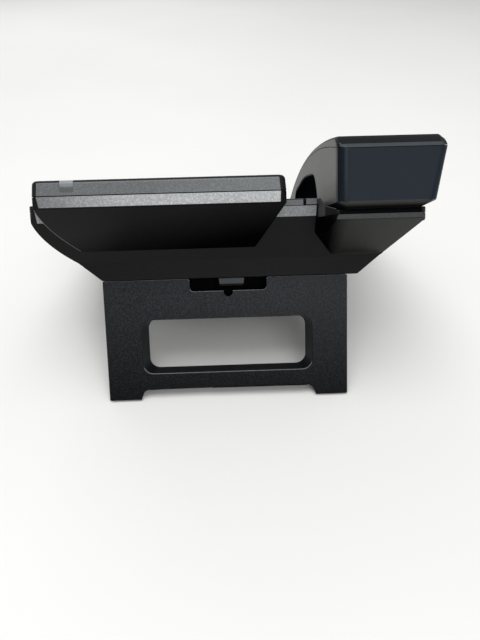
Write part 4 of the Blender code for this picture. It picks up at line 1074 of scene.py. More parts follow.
        def strip(at: Vector, normal: Vector) -> bool:
            """Tells whether a face belongs to the strip along the rear edge."""
            return (at.y > self.length - self.rim_inset - 2 * self.edge and at.x > -self.wing_inner
                    and at.z > low - self.edge / 3 and normal.y > FACING)

        # Painted light: the rear strip gets a painted reflection, left off at the rounded right corner where
        # it turns from the light; the wing's rim gets a painted highlight; the wing takes its plastic with
        # painted reflection and painted shade.
        shell.scored(Axis.X, [turn], strip)
        shell.painted(1, lambda at, normal: strip(at, normal) and at.x < turn)
        shell.painted(3, lambda at, normal: at.y > self.length - self.waist_setback + self.edge
                      and at.x < GAP - self.wing_inner and at.z > -self.wing_crease - self.edge)
        shell.painted(2, lambda at, normal: at.y > self.wing_rear - self.wing_rim
                      and at.z > wing_low - self.edge / 3 and normal.y > 0.8)
        self.fit(shell, "base_lower_shell", "base", "shell_dark",
                 [Skin.SHELL, Skin.PALE, Skin.BROW, Skin.WING])

    def build_faceplate(self, keys: Sequence[Key], corner: float) -> None:
        """Makes the faceplate with its key holes.

        Args:
            keys: The keys that stand in it.
            corner: Radius of the keys' corners.
        """
        outline = Outline.of([
            (-self.split, 0, self.joint_corner), (self.right, 0, self.front_corner),
            (self.right, self.length, self.rear_corner), (-self.split, self.length, self.joint_corner)])
        plate = Form.prism(outline, Axis.Z, -self.seam + GAP, 0)
        plate.rounded(self.edge, 3, lambda at: at.z > -self.edge)
        plate.cut(Form.prism(outline.inset(WALL), Axis.Z, -self.seam - BEYOND, -WALL))
        foot = self.floor_top + self.boss_height + GAP
        for x, y in self.screw_places():
            plate.join(Form.post(x, y, self.boss_radius - 3 * GAP, foot, -WALL / 2))
            plate.cut(Form.post(x, y, self.screw_radius + GAP, foot - BEYOND, foot + self.boss_height))
        plate.cut(Form.gathered(key.hole(-WALL - BEYOND / 2, BEYOND, corner) for key in keys))
        plate.rounded(OPENING, 2, lambda at: at.z > -OPENING / 2 and self._inside(at), STEEP)
        # Painted shade on the faceplate's sides and the walls of its key holes, which take the darker shell
        # plastic; painted reflection on the rear strip.
        plate.painted(2, lambda at, normal: normal.z < 0.5)
        plate.painted(1, lambda at, normal: at.y > self.length - self.edge and normal.y > 0.97)
        self.fit(plate, "base_faceplate", "base", "face_grey", [Skin.FACE, Skin.RIM, Skin.SHELL])

    def _inside(self, at: Vector) -> bool:
        """Tells whether a point lies away from the faceplate's rim."""
        return -self.split + WALL < at.x < self.right - WALL and WALL < at.y < self.length - WALL


@dataclass
class HandsetCradle(SubAssembly):
    """The cradle with its two wells, the speaker slots and the hook plunger."""

    base: BaseHousing
    floor: float = 0.0083
    rim: float = 0.0075
    well_inner: float = 0.0560
    well_outer: float = 0.0955
    hump_start: float = 0.084
    hump_end: float = 0.158
    handset_front: float = 0.018
    slot_count: int = 5
    slot_length: float = 0.030
    slot_width: float = 0.0024
    slot_pitch: float = 0.007
    speaker_x: float = -0.0740
    speaker_y: float = 0.1210
    plunger_x: float = -0.0765
    plunger_y: float = 0.1900
    plunger_size: tuple[float, float] = (0.0070, 0.0090)
    plunger_length: float = 0.0110
    plunger_flange: float = 0.0012
    plunger_corner: float = 0.0008
    plunger_round: float = 0.0005
    knee: tuple[float, float] = (0.0523, 0.0048)
    groove: Triple = (0.0523, 0.2058, 0.0004)
    edge: float = 0.0005
    edge_angle: float = 20.0

    def wells(self) -> list[Form]:
        """Cutters for the ear well and the mouth well.

        Returns:
            The two cutters.
        """
        base, floor = self.base, self.floor
        lip = -base.wing_inner - 2 * GAP
        section = Outline.of([
            (-base.left - BEYOND, HIGH), (-base.left - BEYOND, -self.rim),
            (-self.well_outer - 2 * (floor - self.rim), -self.rim), (-self.well_outer, -floor),
            (-self.well_inner, -floor), (-self.knee[0], -self.knee[1]), (lip, BEYOND / 8), (lip, HIGH)])
        far, near = base.wing_rear + BEYOND, self.handset_front - BEYOND
        ear = Outline.of([(self.hump_end, HIGH), (self.hump_end, 0), (self.hump_end + floor / 2, -2 * floor),
                          (far, -2 * floor), (far, HIGH)])
        mouth = Outline.of([(self.hump_start, HIGH), (self.hump_start, 0),
                            (self.hump_start - floor / 2, -2 * floor), (near + floor / 4, -2 * floor),
                            (near, 0), (near, HIGH)])
        return [Form.prism(section, Axis.Y, -BEYOND, far).keep(
            Form.prism(side, Axis.X, -base.left - 2 * BEYOND, 0)) for side in (ear, mouth)]

    def build_cradle(self) -> None:
        """Makes the cradle."""
        base, split, under = self.base, -self.base.split - GAP, -self.base.wing_seam - BEYOND
        plan = [(split, 0, base.joint_corner), (split, base.length, base.joint_corner), *base.wing_plan()]
        cradle = Form.prism(Outline.of(plan), Axis.Z, under, 0)
        cradle.keep(Form.prism(base.cradle_joint(GAP), Axis.X, -base.left - BEYOND, BEYOND))
        step = Outline.of([
            (-base.wing_inner - GAP, under), (0, under), (0, -base.seam + GAP),
            (-base.wing_inner - GAP, -base.seam + GAP)])
        cradle.cut(Form.prism(step, Axis.Y, -BEYOND, base.wing_rear + BEYOND), *self.wells())
        cradle.rounded(self.edge, 3, lambda at: at.z > -base.wing_seam + 2 * GAP and at.x < split - GAP,
                       self.edge_angle)
        hollow = Outline.of([
            (-self.well_outer, self.hump_start + WALL), (-self.well_inner + WALL, self.hump_start + WALL),
            (-self.well_inner + WALL, self.hump_end - WALL), (-self.well_outer, self.hump_end - WALL)])
        cradle.cut(Form.prism(hollow, Axis.Z, under, -WALL), self.slots(),
                   Form.prism(self.plunger_outline(GAP), Axis.Z, under, -self.floor + BEYOND))
        x, y, wide = self.groove
        cradle.cut(Form.prism(Outline.box(-x, y, wide, wide), Axis.Z, under, BEYOND))
        # Painted light: a painted reflection on the rear strip beside the base and, mid-grey, on the inner
        # wall up to the groove; painted shadow on the rear lip under the handset; a painted highlight along
        # the upper edge of the inner wall.
        cradle.painted(1, lambda at, normal: at.x > -base.wing_inner - GAP and normal.y > FACING
                       and at.y > base.length - self.edge)
        cradle.painted(2, lambda at, normal: at.y > base.wing_rear - GAP and normal.y > FACING)
        cradle.painted(3, lambda at, normal: base.length < at.y < y - wide / 2 and normal.x > 0.8)
        cradle.painted(4, lambda at, normal: base.length < at.y < base.wing_rear and at.x > -self.well_inner
                       and normal.x > 0.25 and normal.z > 0.25)
        self.fit(cradle, "handset_cradle", "base", "shell_dark",
                 [Skin.SHELL, Skin.RIM, Skin.NOTCH, Skin.BROW, Skin.EDGE])

    def slots(self) -> Form:
        """The speaker slots as one cutter, set in a row by Geometry Nodes.

        Returns:
            The cutter.
        """
        outline = Outline.box(0, 0, self.slot_length, self.slot_width, self.slot_width / 2 - GAP / 3)
        slot = Form.prism(outline, Axis.Z, -WALL - BEYOND / 4, BEYOND)
        start = Vector((self.speaker_x, self.speaker_y - (self.slot_count - 1) / 2 * self.slot_pitch, 0))
        return CopyRow(slot, self.slot_count, start, Vector((0, self.slot_pitch, 0)), Skin.SHELL).made()

    def plunger_outline(self, spare: float) -> Outline:
        """Plan of the hook plunger (x, y), with room round it."""
        width, height = (side + 2 * spare for side in self.plunger_size)
        return Outline.box(self.plunger_x, self.plunger_y, width, height, self.plunger_corner)

    def build_plunger(self) -> None:
        """Makes the hook plunger with its retaining flange and round top."""
        foot, lip = -self.floor - self.plunger_length, self.plunger_round
        flange = self.plunger_outline(2 * self.plunger_flange)
        levels = [(flange, foot), (flange, foot + self.plunger_flange),
                  (self.plunger_outline(0), foot + self.plunger_flange)]
        levels += [(self.plunger_outline(-lip * (1 - math.cos(t))), -self.floor - lip * (1 - math.sin(t)))
                   for t in quarter(4)]
        self.fit(Form.stacked(levels), "hook_plunger", "hook", "shell_dark", [Skin.SHELL])


@dataclass
class CopyRow:
    """Copies of a form in a row, set by a Geometry Nodes tree."""

    shape: Form
    count: int
    start: Vector
    step: Vector
    skin: Skin

    def tree(self) -> bpy.types.NodeTree:
        """Builds the tree: points on a line, a copy on each, made real and given its material.

        Returns:
            The tree, made on first use.
        """
        found = bpy.data.node_groups.get("row_of_copies")
        if found:
            return found
        tree = bpy.data.node_groups.new("row_of_copies", "GeometryNodeTree")
        for name, kind in (("Shape", "Object"), ("Count", "Int"), ("Start", "Vector"), ("Step", "Vector"),
                           ("Finish", "Material")):
            tree.interface.new_socket(name, in_out="INPUT", socket_type="NodeSocket" + kind)
        tree.interface.new_socket("Geometry", in_out="OUTPUT", socket_type="NodeSocketGeometry")
        given, row, shape, copies, real, painted, result = (tree.nodes.new(kind) for kind in (
            "NodeGroupInput", "GeometryNodeMeshLine", "GeometryNodeObjectInfo",
            "GeometryNodeInstanceOnPoints", "GeometryNodeRealizeInstances", "GeometryNodeSetMaterial",
            "NodeGroupOutput"))
        for source, target in (
                (given.outputs["Count"], row.inputs["Count"]),
                (given.outputs["Start"], row.inputs["Start Location"]),
                (given.outputs["Step"], row.inputs["Offset"]),
                (given.outputs["Shape"], shape.inputs["Object"]),
                (row.outputs["Mesh"], copies.inputs["Points"]),
                (shape.outputs["Geometry"], copies.inputs["Instance"]),
                (copies.outputs["Instances"], real.inputs["Geometry"]),
                (real.outputs["Geometry"], painted.inputs["Geometry"]),
                (given.outputs["Finish"], painted.inputs["Material"]),
                (painted.outputs["Geometry"], result.inputs["Geometry"])):
            tree.links.new(source, target)
        return tree

    def made(self) -> Form:
        """Runs the tree once and keeps the plain mesh.

        Returns:
            The row as one form.
        """
        source = placed("copied_form", self.shape.mesh)
        holder = placed("row", bpy.data.meshes.new("row"))
        tree = self.tree()
        change = holder.modifiers.new("row", "NODES")
        change.node_group = tree
        values = {"Shape": source, "Count": self.count, "Start": self.start, "Step": self.step,
                  "Finish": self.skin.material()}
        for socket in tree.interface.items_tree:
            if socket.in_out == "INPUT":
                change[socket.identifier] = values[socket.name]
        return Form(baked(holder, source))


@dataclass
class DisplayHead(SubAssembly):
    """The raised display: bezel, tapered rear cover, window and message lamp."""

    base: BaseHousing
    left: float = 0.0320
    right: float = 0.0931
    length: float = 0.092
    reach: float = 0.020
    top: float = 0.0100
    seam: float = 0.0026
    rim: float = 0.0059
    rim_inset: float = 0.0030
    back_depth: float = 0.0248
    back_setback: float = 0.0127
    back_left: float = 0.0172
    back_right: float = 0.0788
    bulge: float = 0.0099
    slab: float = 0.0020
    corner: float = 0.0040
    lean: float = 0.0007
    turn: float = 0.0031
    plate: float = 0.0020
    screen_width: float = 0.083
    screen_height: float = 0.054
    screen_x: float = 0.0295
    screen_rise: float = 0.053
    screen_corner: float = 0.001
    glass_width: float = 0.070
    glass_height: float = 0.042
    lamp_width: float = 0.0067
    lamp_height: float = 0.0034
    lamp_depth: float = 0.0035
    lamp_x: float = 0.0750
    lamp_shadow: float = 0.0020
    seam_gap: float = 1.6 * GAP
    window_sunk: float = 0.0001
    glass_sunk: float = 0.00015
    edge: float = 0.0006
    edge_angle: float = 12.0
    fine_edge: float = 0.0005
    edge_run: float = 0.0112
    brow: float = 0.0020

    @property
    def rear(self) -> float:
        """Rear edge of the head."""
        return self.base.length + self.reach

    @property
    def front(self) -> float:
        """Lower edge of the head."""
        return self.rear - self.length

    @property
    def screen_y(self) -> float:
        """Middle of the screen, up the slope."""
        return self.front + self.screen_rise

    def plan(self, sides: float = 0.0) -> Outline:
        """Plan of the head (x, y), its sides drawn in a little."""
        left, right, corner = sides - self.left, self.right - sides, self.corner
        return Outline.of([(left, self.front, corner), (right, self.front, corner),
                           (right, self.rear, corner), (left, self.rear, corner)])

    def bezel_block(self) -> Form:
        """The bezel's outside, with leaning sides and a rounded upper edge."""
        made = Form.stacked([(self.plan(), self.seam), (self.plan(self.lean), self.top)], alike=True)
        return made.rounded(self.brow, 4, lambda at: at.z > self.top - self.edge)

    def cross(self) -> Outline:
        """Cross outline of the head's back (x, z): straight on the left, curved on the right.

        Returns:
            The outline.
        """
        low = self.seam - self.rim
        flank = bow((self.right, low), (self.right, low - self.bulge),
                    (self.back_right, -self.back_depth))
        lean = BEYOND * (self.left - self.back_left) / self.back_depth
        return Outline.of([
            (self.right, HIGH), *flank, (self.back_right - BEYOND, -self.back_depth - BEYOND),
            (-self.back_left + lean, -self.back_depth - BEYOND), (-self.back_left, -self.back_depth),
            (-self.left, low), (-self.left, HIGH)])

    def back(self) -> list[Corner]:
        """The part of the head's back that overhangs the base (y, z), from the seam down and round."""
        base = self.base
        return [(self.rear, self.seam - self.seam_gap), (self.rear - self.rim_inset, self.seam - self.rim),
                (base.length - self.back_setback, -self.back_depth),
                (base.length - base.rim_inset + GAP, -base.seam - base.rim_height),
                (base.length + GAP, -base.seam)]

    def screen(self) -> Outline:
        """The window's outline (x, y)."""
        return Outline.box(self.screen_x, self.screen_y, self.screen_width, self.screen_height,
                           self.screen_corner)

    def lamp_plan(self, spare: float) -> Outline:
        """Plan of the lamp (x, y), with room round it, past the rear edge."""
        return Outline.box(self.lamp_x, self.rear + (BEYOND - self.lamp_depth) / 2,
                           self.lamp_width + spare / 2, self.lamp_depth + spare + BEYOND)

    def build_cover(self) -> None:
        """Makes the tapered rear cover."""
        wide, near, far = self.base.right + BEYOND, self.front - BEYOND, self.rear + BEYOND
        top = self.seam - self.seam_gap
        side = Outline.of([(near, top), *self.back()[:3], (near, -self.back_depth)])
        cover = Form.prism(side, Axis.X, -wide, wide)
        cover.keep(Form.prism(self.cross(), Axis.Y, 0, far), Form.prism(self.plan(), Axis.Z, -DEEP, DEEP))
        cover.rounded(self.fine_edge, 2, lambda at: at.z < top - GAP
                      and at.y > self.base.length - self.edge_run, self.edge_angle)
        body = Outline.of([(y, min(z, 0.0)) for y, z, _ in self.base.side().corners]).inset(-GAP)
        cover.cut(Form.prism(body, Axis.X, -wide - BEYOND, wide + BEYOND))
        room = Outline.of([(self.base.length + GAP, HIGH), (self.rear, HIGH), *self.back()[1:]])
        hollow = Form.prism(room.inset(self.slab), Axis.X, -wide, wide)
        hollow.keep(Form.prism(self.cross().inset(WALL), Axis.Y, 0, far),
                    Form.prism(self.plan().inset(WALL), Axis.Z, -DEEP, DEEP))
        cover.cut(hollow)
        low, ends = self.seam - self.rim, (self.turn - self.left, self.right - self.turn)

        def strip(at: Vector, normal: Vector) -> bool:
            """Tells whether a face belongs to the strip along the rear edge."""
            return (at.y > self.rear - self.rim_inset - 2 * self.edge and at.z > low - self.edge / 3
                    and normal.y > FACING)

        # Painted light: a painted reflection on the rear strip, which stops short of the rounded corners, and
        # a painted highlight along the curved edge of the back; the back itself carries painted shade.
        cover.scored(Axis.X, ends, strip)
        cover.painted(1, lambda at, normal: strip(at, normal) and ends[0] < at.x < ends[1])
        cover.painted(2, lambda at, normal: at.z < low - self.edge and normal.x > 0.15
                      and 0.12 < normal.y < 0.66)
        self.fit(cover, "display_rear_cover", "base", "head_black", [Skin.HEAD, Skin.BRIGHT, Skin.RIM])

    def build_bezel(self, keys: Sequence[Key], corner: float) -> None:
        """Makes the bezel with its window, key holes and lamp notch.

        Args:
            keys: The keys that stand in it.
            corner: Radius of the keys' corners.
        """
        bezel = self.bezel_block()
        bezel.cut(Form.prism(self.plan().inset(WALL), Axis.Z, self.seam - BEYOND, self.top - self.plate),
                  Form.prism(self.screen(), Axis.Z, self.seam, self.top + BEYOND))
        bezel.cut(Form.prism(self.lamp_plan(GAP), Axis.Z, self.top - self.lamp_height - GAP / 4,
                             self.top + BEYOND))
        bezel.cut(Form.gathered(key.hole(self.top - self.plate - BEYOND / 4, self.top + BEYOND, corner)
                                for key in keys))
        inner = self.plan().inset(WALL).corners
        bezel.rounded(OPENING, 2, lambda at: at.z > self.top - OPENING / 2
                      and inner[0][0] < at.x < inner[1][0] and inner[0][1] < at.y < inner[2][1]
                      and at.y < self.rear - 2 * self.lamp_depth, STEEP)
        # Painted reflection on the rear strip and the lower part of the rounded brow above it.
        bezel.painted(1, lambda at, normal: at.y > self.rear - self.brow and normal.y > 0.9
                      and abs(normal.x) < 0.17)
        self.fit(bezel, "display_bezel", "base", "face_grey", [Skin.BEZEL, Skin.TRIM])

    def build_lamp(self) -> None:
        """Makes the message lamp, and a thin darker patch below it on the bezel's rear as painted shadow."""
        lamp = Form.prism(self.lamp_plan(0.0), Axis.Z, self.top - self.lamp_height, self.top + BEYOND)
        lamp.keep(self.bezel_block()).rounded(OPENING, 2, None, STEEP)
        foot = self.top - self.lamp_height - 2 * GAP
        # Painted shadow: a thin darker patch on the bezel's rear, below the lamp.
        shade_patch = Form.prism(Outline.box(self.lamp_x, self.rear - GAP / 2, self.lamp_width, GAP * 1.2), Axis.Z,
                          foot - self.lamp_shadow, foot)
        made = Form.gathered([lamp, shade_patch]).painted(1, lambda at, normal: at.z < foot + GAP / 2)
        self.fit(made, "message_lamp", "base", "lamp_clear", [Skin.LAMP, Skin.LAMP_SHADOW])

    def build_window(self) -> None:
        """Makes the window with the display glass showing through its middle."""
        low, high, rim = self.top - self.plate, self.top - self.window_sunk, self.screen().inset(GAP)
        glass = Outline.box(self.screen_x, self.screen_y, self.glass_width, self.glass_height,
                            self.screen_corner)
        window = Form.stacked([(rim, low), (rim, high - OPENING), (self.screen().inset(GAP + OPENING), high),
                               (glass, high), (glass, high - self.glass_sunk)])
        window.painted(1, lambda at, normal: normal.z > 0.9 and at.z < high - self.glass_sunk / 2)
        self.fit(window, "display_lens", "base", "lens_black", [Skin.LENS, Skin.GLASS])


@dataclass
class Keypad(SubAssembly):
    """All keys: dial pad, arrow keys, side keys, volume rocker, soft keys and line keys."""

    head: DisplayHead
    proud: float = 0.0018
    skirt: float = 0.0009
    flange: float = 0.0008
    flange_corner: float = 0.0001
    corner: float = 0.0020
    crown: float = 0.00025
    edge: float = 0.0006
    rocker_drop: float = 0.0007
    rocker_waist: float = 0.0007
    dial_size: tuple[float, float] = (0.0190, 0.0105)
    dial_x: float = 0.02975
    dial_setback: float = 0.0245
    dial_pitch: tuple[float, float] = (0.0245, 0.0145)
    nav_setback: float = 0.0250
    nav_ok: tuple[float, float] = (0.0130, 0.0110)
    nav_arrow: float = 0.0080
    nav_space: float = 0.0006
    soft_size: tuple[float, float] = (0.0160, 0.0080)
    soft_rise: float = 0.0150
    soft_pitch: float = 0.02075
    line_size: tuple[float, float] = (0.0120, 0.0100)
    line_space: float = 0.0045
    line_pitch: float = 0.0240
    side_size: tuple[float, float] = (0.0160, 0.0100)
    side_x: float = 0.0840
    rocker_size: tuple[float, float] = (0.0110, 0.0320)
    rocker_x: float = -0.0240
    digit_height: float = 0.0058
    mark_unit: float = 0.0010
    arc_width: float = 0.0005
    ink: float = 0.00003

    @property
    def nav_y(self) -> float:
        """Middle of the arrow keys."""
        return self.head.front - self.nav_setback

    @property
    def dial_y(self) -> float:
        """Top row of the dial pad."""
        return self.nav_y - self.dial_setback

    @property
    def rocker_y(self) -> float:
        """Middle of the volume rocker."""
        return self.dial_y - 1.5 * self.dial_pitch[1]

    def face_keys(self) -> list[Key]:
        """Keys of the faceplate.

        Returns:
            The keys.
        """
        names = {"*": "star", "#": "hash"}
        found = [Key("key_" + names.get(digit, digit), self.dial_x + (i % 3 - 1) * self.dial_pitch[0],
                     self.dial_y - (i // 3) * self.dial_pitch[1], *self.dial_size, digit=digit)
                 for i, digit in enumerate("123456789*0#")]
        space = 2 * (GAP + self.flange) + self.nav_space + self.nav_arrow / 2
        wide, tall = self.nav_ok
        rise, spread, x, y = tall / 2 + space, wide / 2 + space, self.dial_x, self.nav_y
        found += [Key("nav_ok", x, y, wide, tall), Key("nav_up", x, y + rise, wide, self.nav_arrow, Mark.UP),
                  Key("nav_down", x, y - rise, wide, self.nav_arrow, Mark.DOWN),
                  Key("nav_left", x - spread, y, self.nav_arrow, wide, Mark.LEFT),
                  Key("nav_right", x + spread, y, self.nav_arrow, wide, Mark.RIGHT)]
        row = self.dial_pitch[1]
        found += [Key("speaker_key", self.side_x, self.dial_y - row, *self.side_size, Mark.SPEAKER),
                  Key("mute_key", self.side_x, self.dial_y - 2 * row, *self.side_size, Mark.MUTE),
                  Key("volume_rocker", self.rocker_x, self.rocker_y, *self.rocker_size, Mark.ROCKER)]
        return found

    def head_keys(self) -> list[Key]:
        """Keys of the display bezel.

        Returns:
            The keys.
        """
        head = self.head
        found = [Key(f"soft_key_{i + 1}", head.screen_x + (i - 1.5) * self.soft_pitch,
                     head.front + self.soft_rise, *self.soft_size, Mark.DASH) for i in range(4)]
        reach = head.screen_width / 2 + self.line_space + self.line_size[0] / 2
        places = [(side, step) for side in (-1, 1) for step in (0.5, -0.5)]
        found += [Key(f"line_key_{i}", head.screen_x + side * reach, head.screen_y + step * self.line_pitch,
                      *self.line_size, Mark.DOT) for i, (side, step) in enumerate(places, 1)]
        return found

    def cap(self, key: Key, surface: float, plate: float) -> Form:
        """One key cap: a flange behind the plate, upright sides, round edges and a slight crown.

        Args:
            key: The key.
            surface: Height of the plate's front.
            plate: Its thickness.

        Returns:
            The cap.
        """
        skirt = surface - plate - GAP - (self.rocker_drop if key.mark is Mark.ROCKER else 0.0)
        spread = 2 * (GAP + self.flange)
        top, edge = surface + self.proud - self.crown, self.edge

        def ring(extra: float, radius: float, z: float) -> tuple[Outline, float]:
            """The key's outline with some extra width, at one level."""
            return Outline.box(key.x, key.y, key.width + extra, key.height + extra,
                               max(radius, self.flange_corner)), z

        rings = [ring(spread, 0, skirt - self.skirt), ring(spread, 0, skirt), ring(0, self.corner, skirt)]
        for turn in quarter(4):
            drawn_in = edge * (1 - math.cos(turn))
            rings.append(ring(-2 * drawn_in, self.corner - drawn_in, top - edge * (1 - math.sin(turn))))
        reach = min(key.width, key.height) / 2 - edge
        for share in (0.25, 0.5, 0.75, 0.95):
            drawn_in = edge + share * reach
            rings.append(ring(-2 * drawn_in, self.corner - drawn_in,
                              top + self.crown * (1 - (1 - share) ** 2)))
        form = Form.stacked(rings)
        if key.mark is Mark.ROCKER:
            for vertex in form.mesh.vertices:
                if vertex.co.z > surface + GAP:
                    away = (vertex.co.y - key.y) / (key.height / 6)
                    vertex.co.z -= self.rocker_waist * math.exp(-away * away)
        return form

    def legend(self, key: Key, height: float) -> Form | None:
        """The printed mark on a key.

        Args:
            key: The key.
            height: Height of the key's top.

        Returns:
            The mark as a thin form, or nothing for a bare key.
        """
        shapes = self.drawn_mark(key)
        if not shapes:
            return None
        return Form.gathered(Form.prism(shape, Axis.Z, height - 4 * self.ink, height + self.ink)
                             for shape in shapes)

    def drawn_mark(self, key: Key) -> list[Outline]:
        """Outlines of a key's mark, apart from digits.

        Args:
            key: The key.

        Returns:
            The outlines, none for a digit or a bare key.
        """
        x, y, unit = key.x, key.y, self.mark_unit

        def drawn(points: Iterable[Sequence[float]]) -> Outline:
            """An outline about the key's middle, from points in units of the mark."""
            return Outline.of([(x + a * unit, y + b * unit) for a, b in points])

        arrows = (Mark.UP, Mark.LEFT, Mark.DOWN, Mark.RIGHT)
        if key.mark in arrows:
            turn = Matrix.Rotation(arrows.index(key.mark) * math.pi / 2, 2)
            return [drawn(turn @ Vector(p) for p in ((-1.7, -0.8), (1.7, -0.8), (0, 1)))]
        if key.mark is Mark.DASH:
            return [Outline.box(x, y, 5 * unit, 0.5 * unit)]
        if key.mark is Mark.DOT:
            return [Outline.disc(x, y, 0.9 * unit, 20)]
        if key.mark is Mark.ROCKER:
            return [Outline.box(x, y + rise * unit, width * unit, height * unit) for rise, width, height in (
                (10, 4, 0.7), (-10, 4, 0.7), (11.25, 0.7, 1.6), (8.75, 0.7, 1.6))]
        if key.mark in (Mark.SPEAKER, Mark.MUTE):
            horn = drawn(((-2.4, -0.8), (-1.4, -0.8), (0.2, -2), (0.2, 2), (-1.4, 0.8), (-2.4, 0.8)))
            if key.mark is Mark.SPEAKER:
                return [horn, self.arc(x, y, 1.4 * unit), self.arc(x, y, 2.4 * unit)]
            turn, beside = Matrix.Rotation(math.pi / 4, 2), Vector((2.2, 0))
            slash = ((-1.6, -0.25), (1.6, -0.25), (1.6, 0.25), (-1.6, 0.25))
            return [horn, drawn(beside + turn @ Vector(p) for p in slash)]
        return []

    def arc(self, x: float, y: float, radius: float) -> Outline:
        """A short arc to the right of a point, as a band.

        Args:
            x: Middle across.
            y: Middle along.
            radius: Inner radius.

        Returns:
            The band's outline.
        """
        turns = [math.radians(-40 + 10 * i) for i in range(9)]
        near, far = ([(x + reach * math.cos(t), y + reach * math.sin(t)) for t in turns]
                     for reach in (radius, radius + self.arc_width))
        return Outline.of(near + far[::-1])

    def digit(self, key: Key, height: float) -> Form:
        """A digit set from a plain typeface.

        Args:
            key: The key.
            height: Height of the key's top.

        Returns:
            The digit as a thin form.
        """
        text = bpy.data.curves.new("digit", "FONT")
        text.body = key.digit
        text.size = self.digit_height
        text.align_x = "CENTER"
        text.align_y = "CENTER"
        text.extrude = 2.5 * self.ink
        mesh = baked(placed("digit", text))
        mesh.transform(Matrix.Translation((key.x, key.y, height - 1.5 * self.ink)))
        shape = bmesh.new()
        shape.from_mesh(mesh)
        bpy.data.meshes.remove(mesh)
        return Form.closed(shape)

    def build(self) -> None:
        """Makes every key with its legend."""
        groups = ((self.face_keys(), 0.0, WALL), (self.head_keys(), self.head.top, self.head.plate))
        for keys, surface, plate in groups:
            for key in keys:
                top = surface + self.proud - 0.2 * self.ink
                mark = self.digit(key, top) if key.digit else self.legend(key, top)
                forms = [self.cap(key, surface, plate)]
                count = len(forms[0].mesh.polygons)
                if mark:
                    forms.append(mark)
                form = Form.gathered(forms)
                for face in form.mesh.polygons:
                    face.material_index = int(face.index >= count)
                body = "volume" if key.mark is Mark.ROCKER else key.name + "_body"
                self.fit(form, key.name, body, "key_grey", [Skin.KEY, Skin.INK])


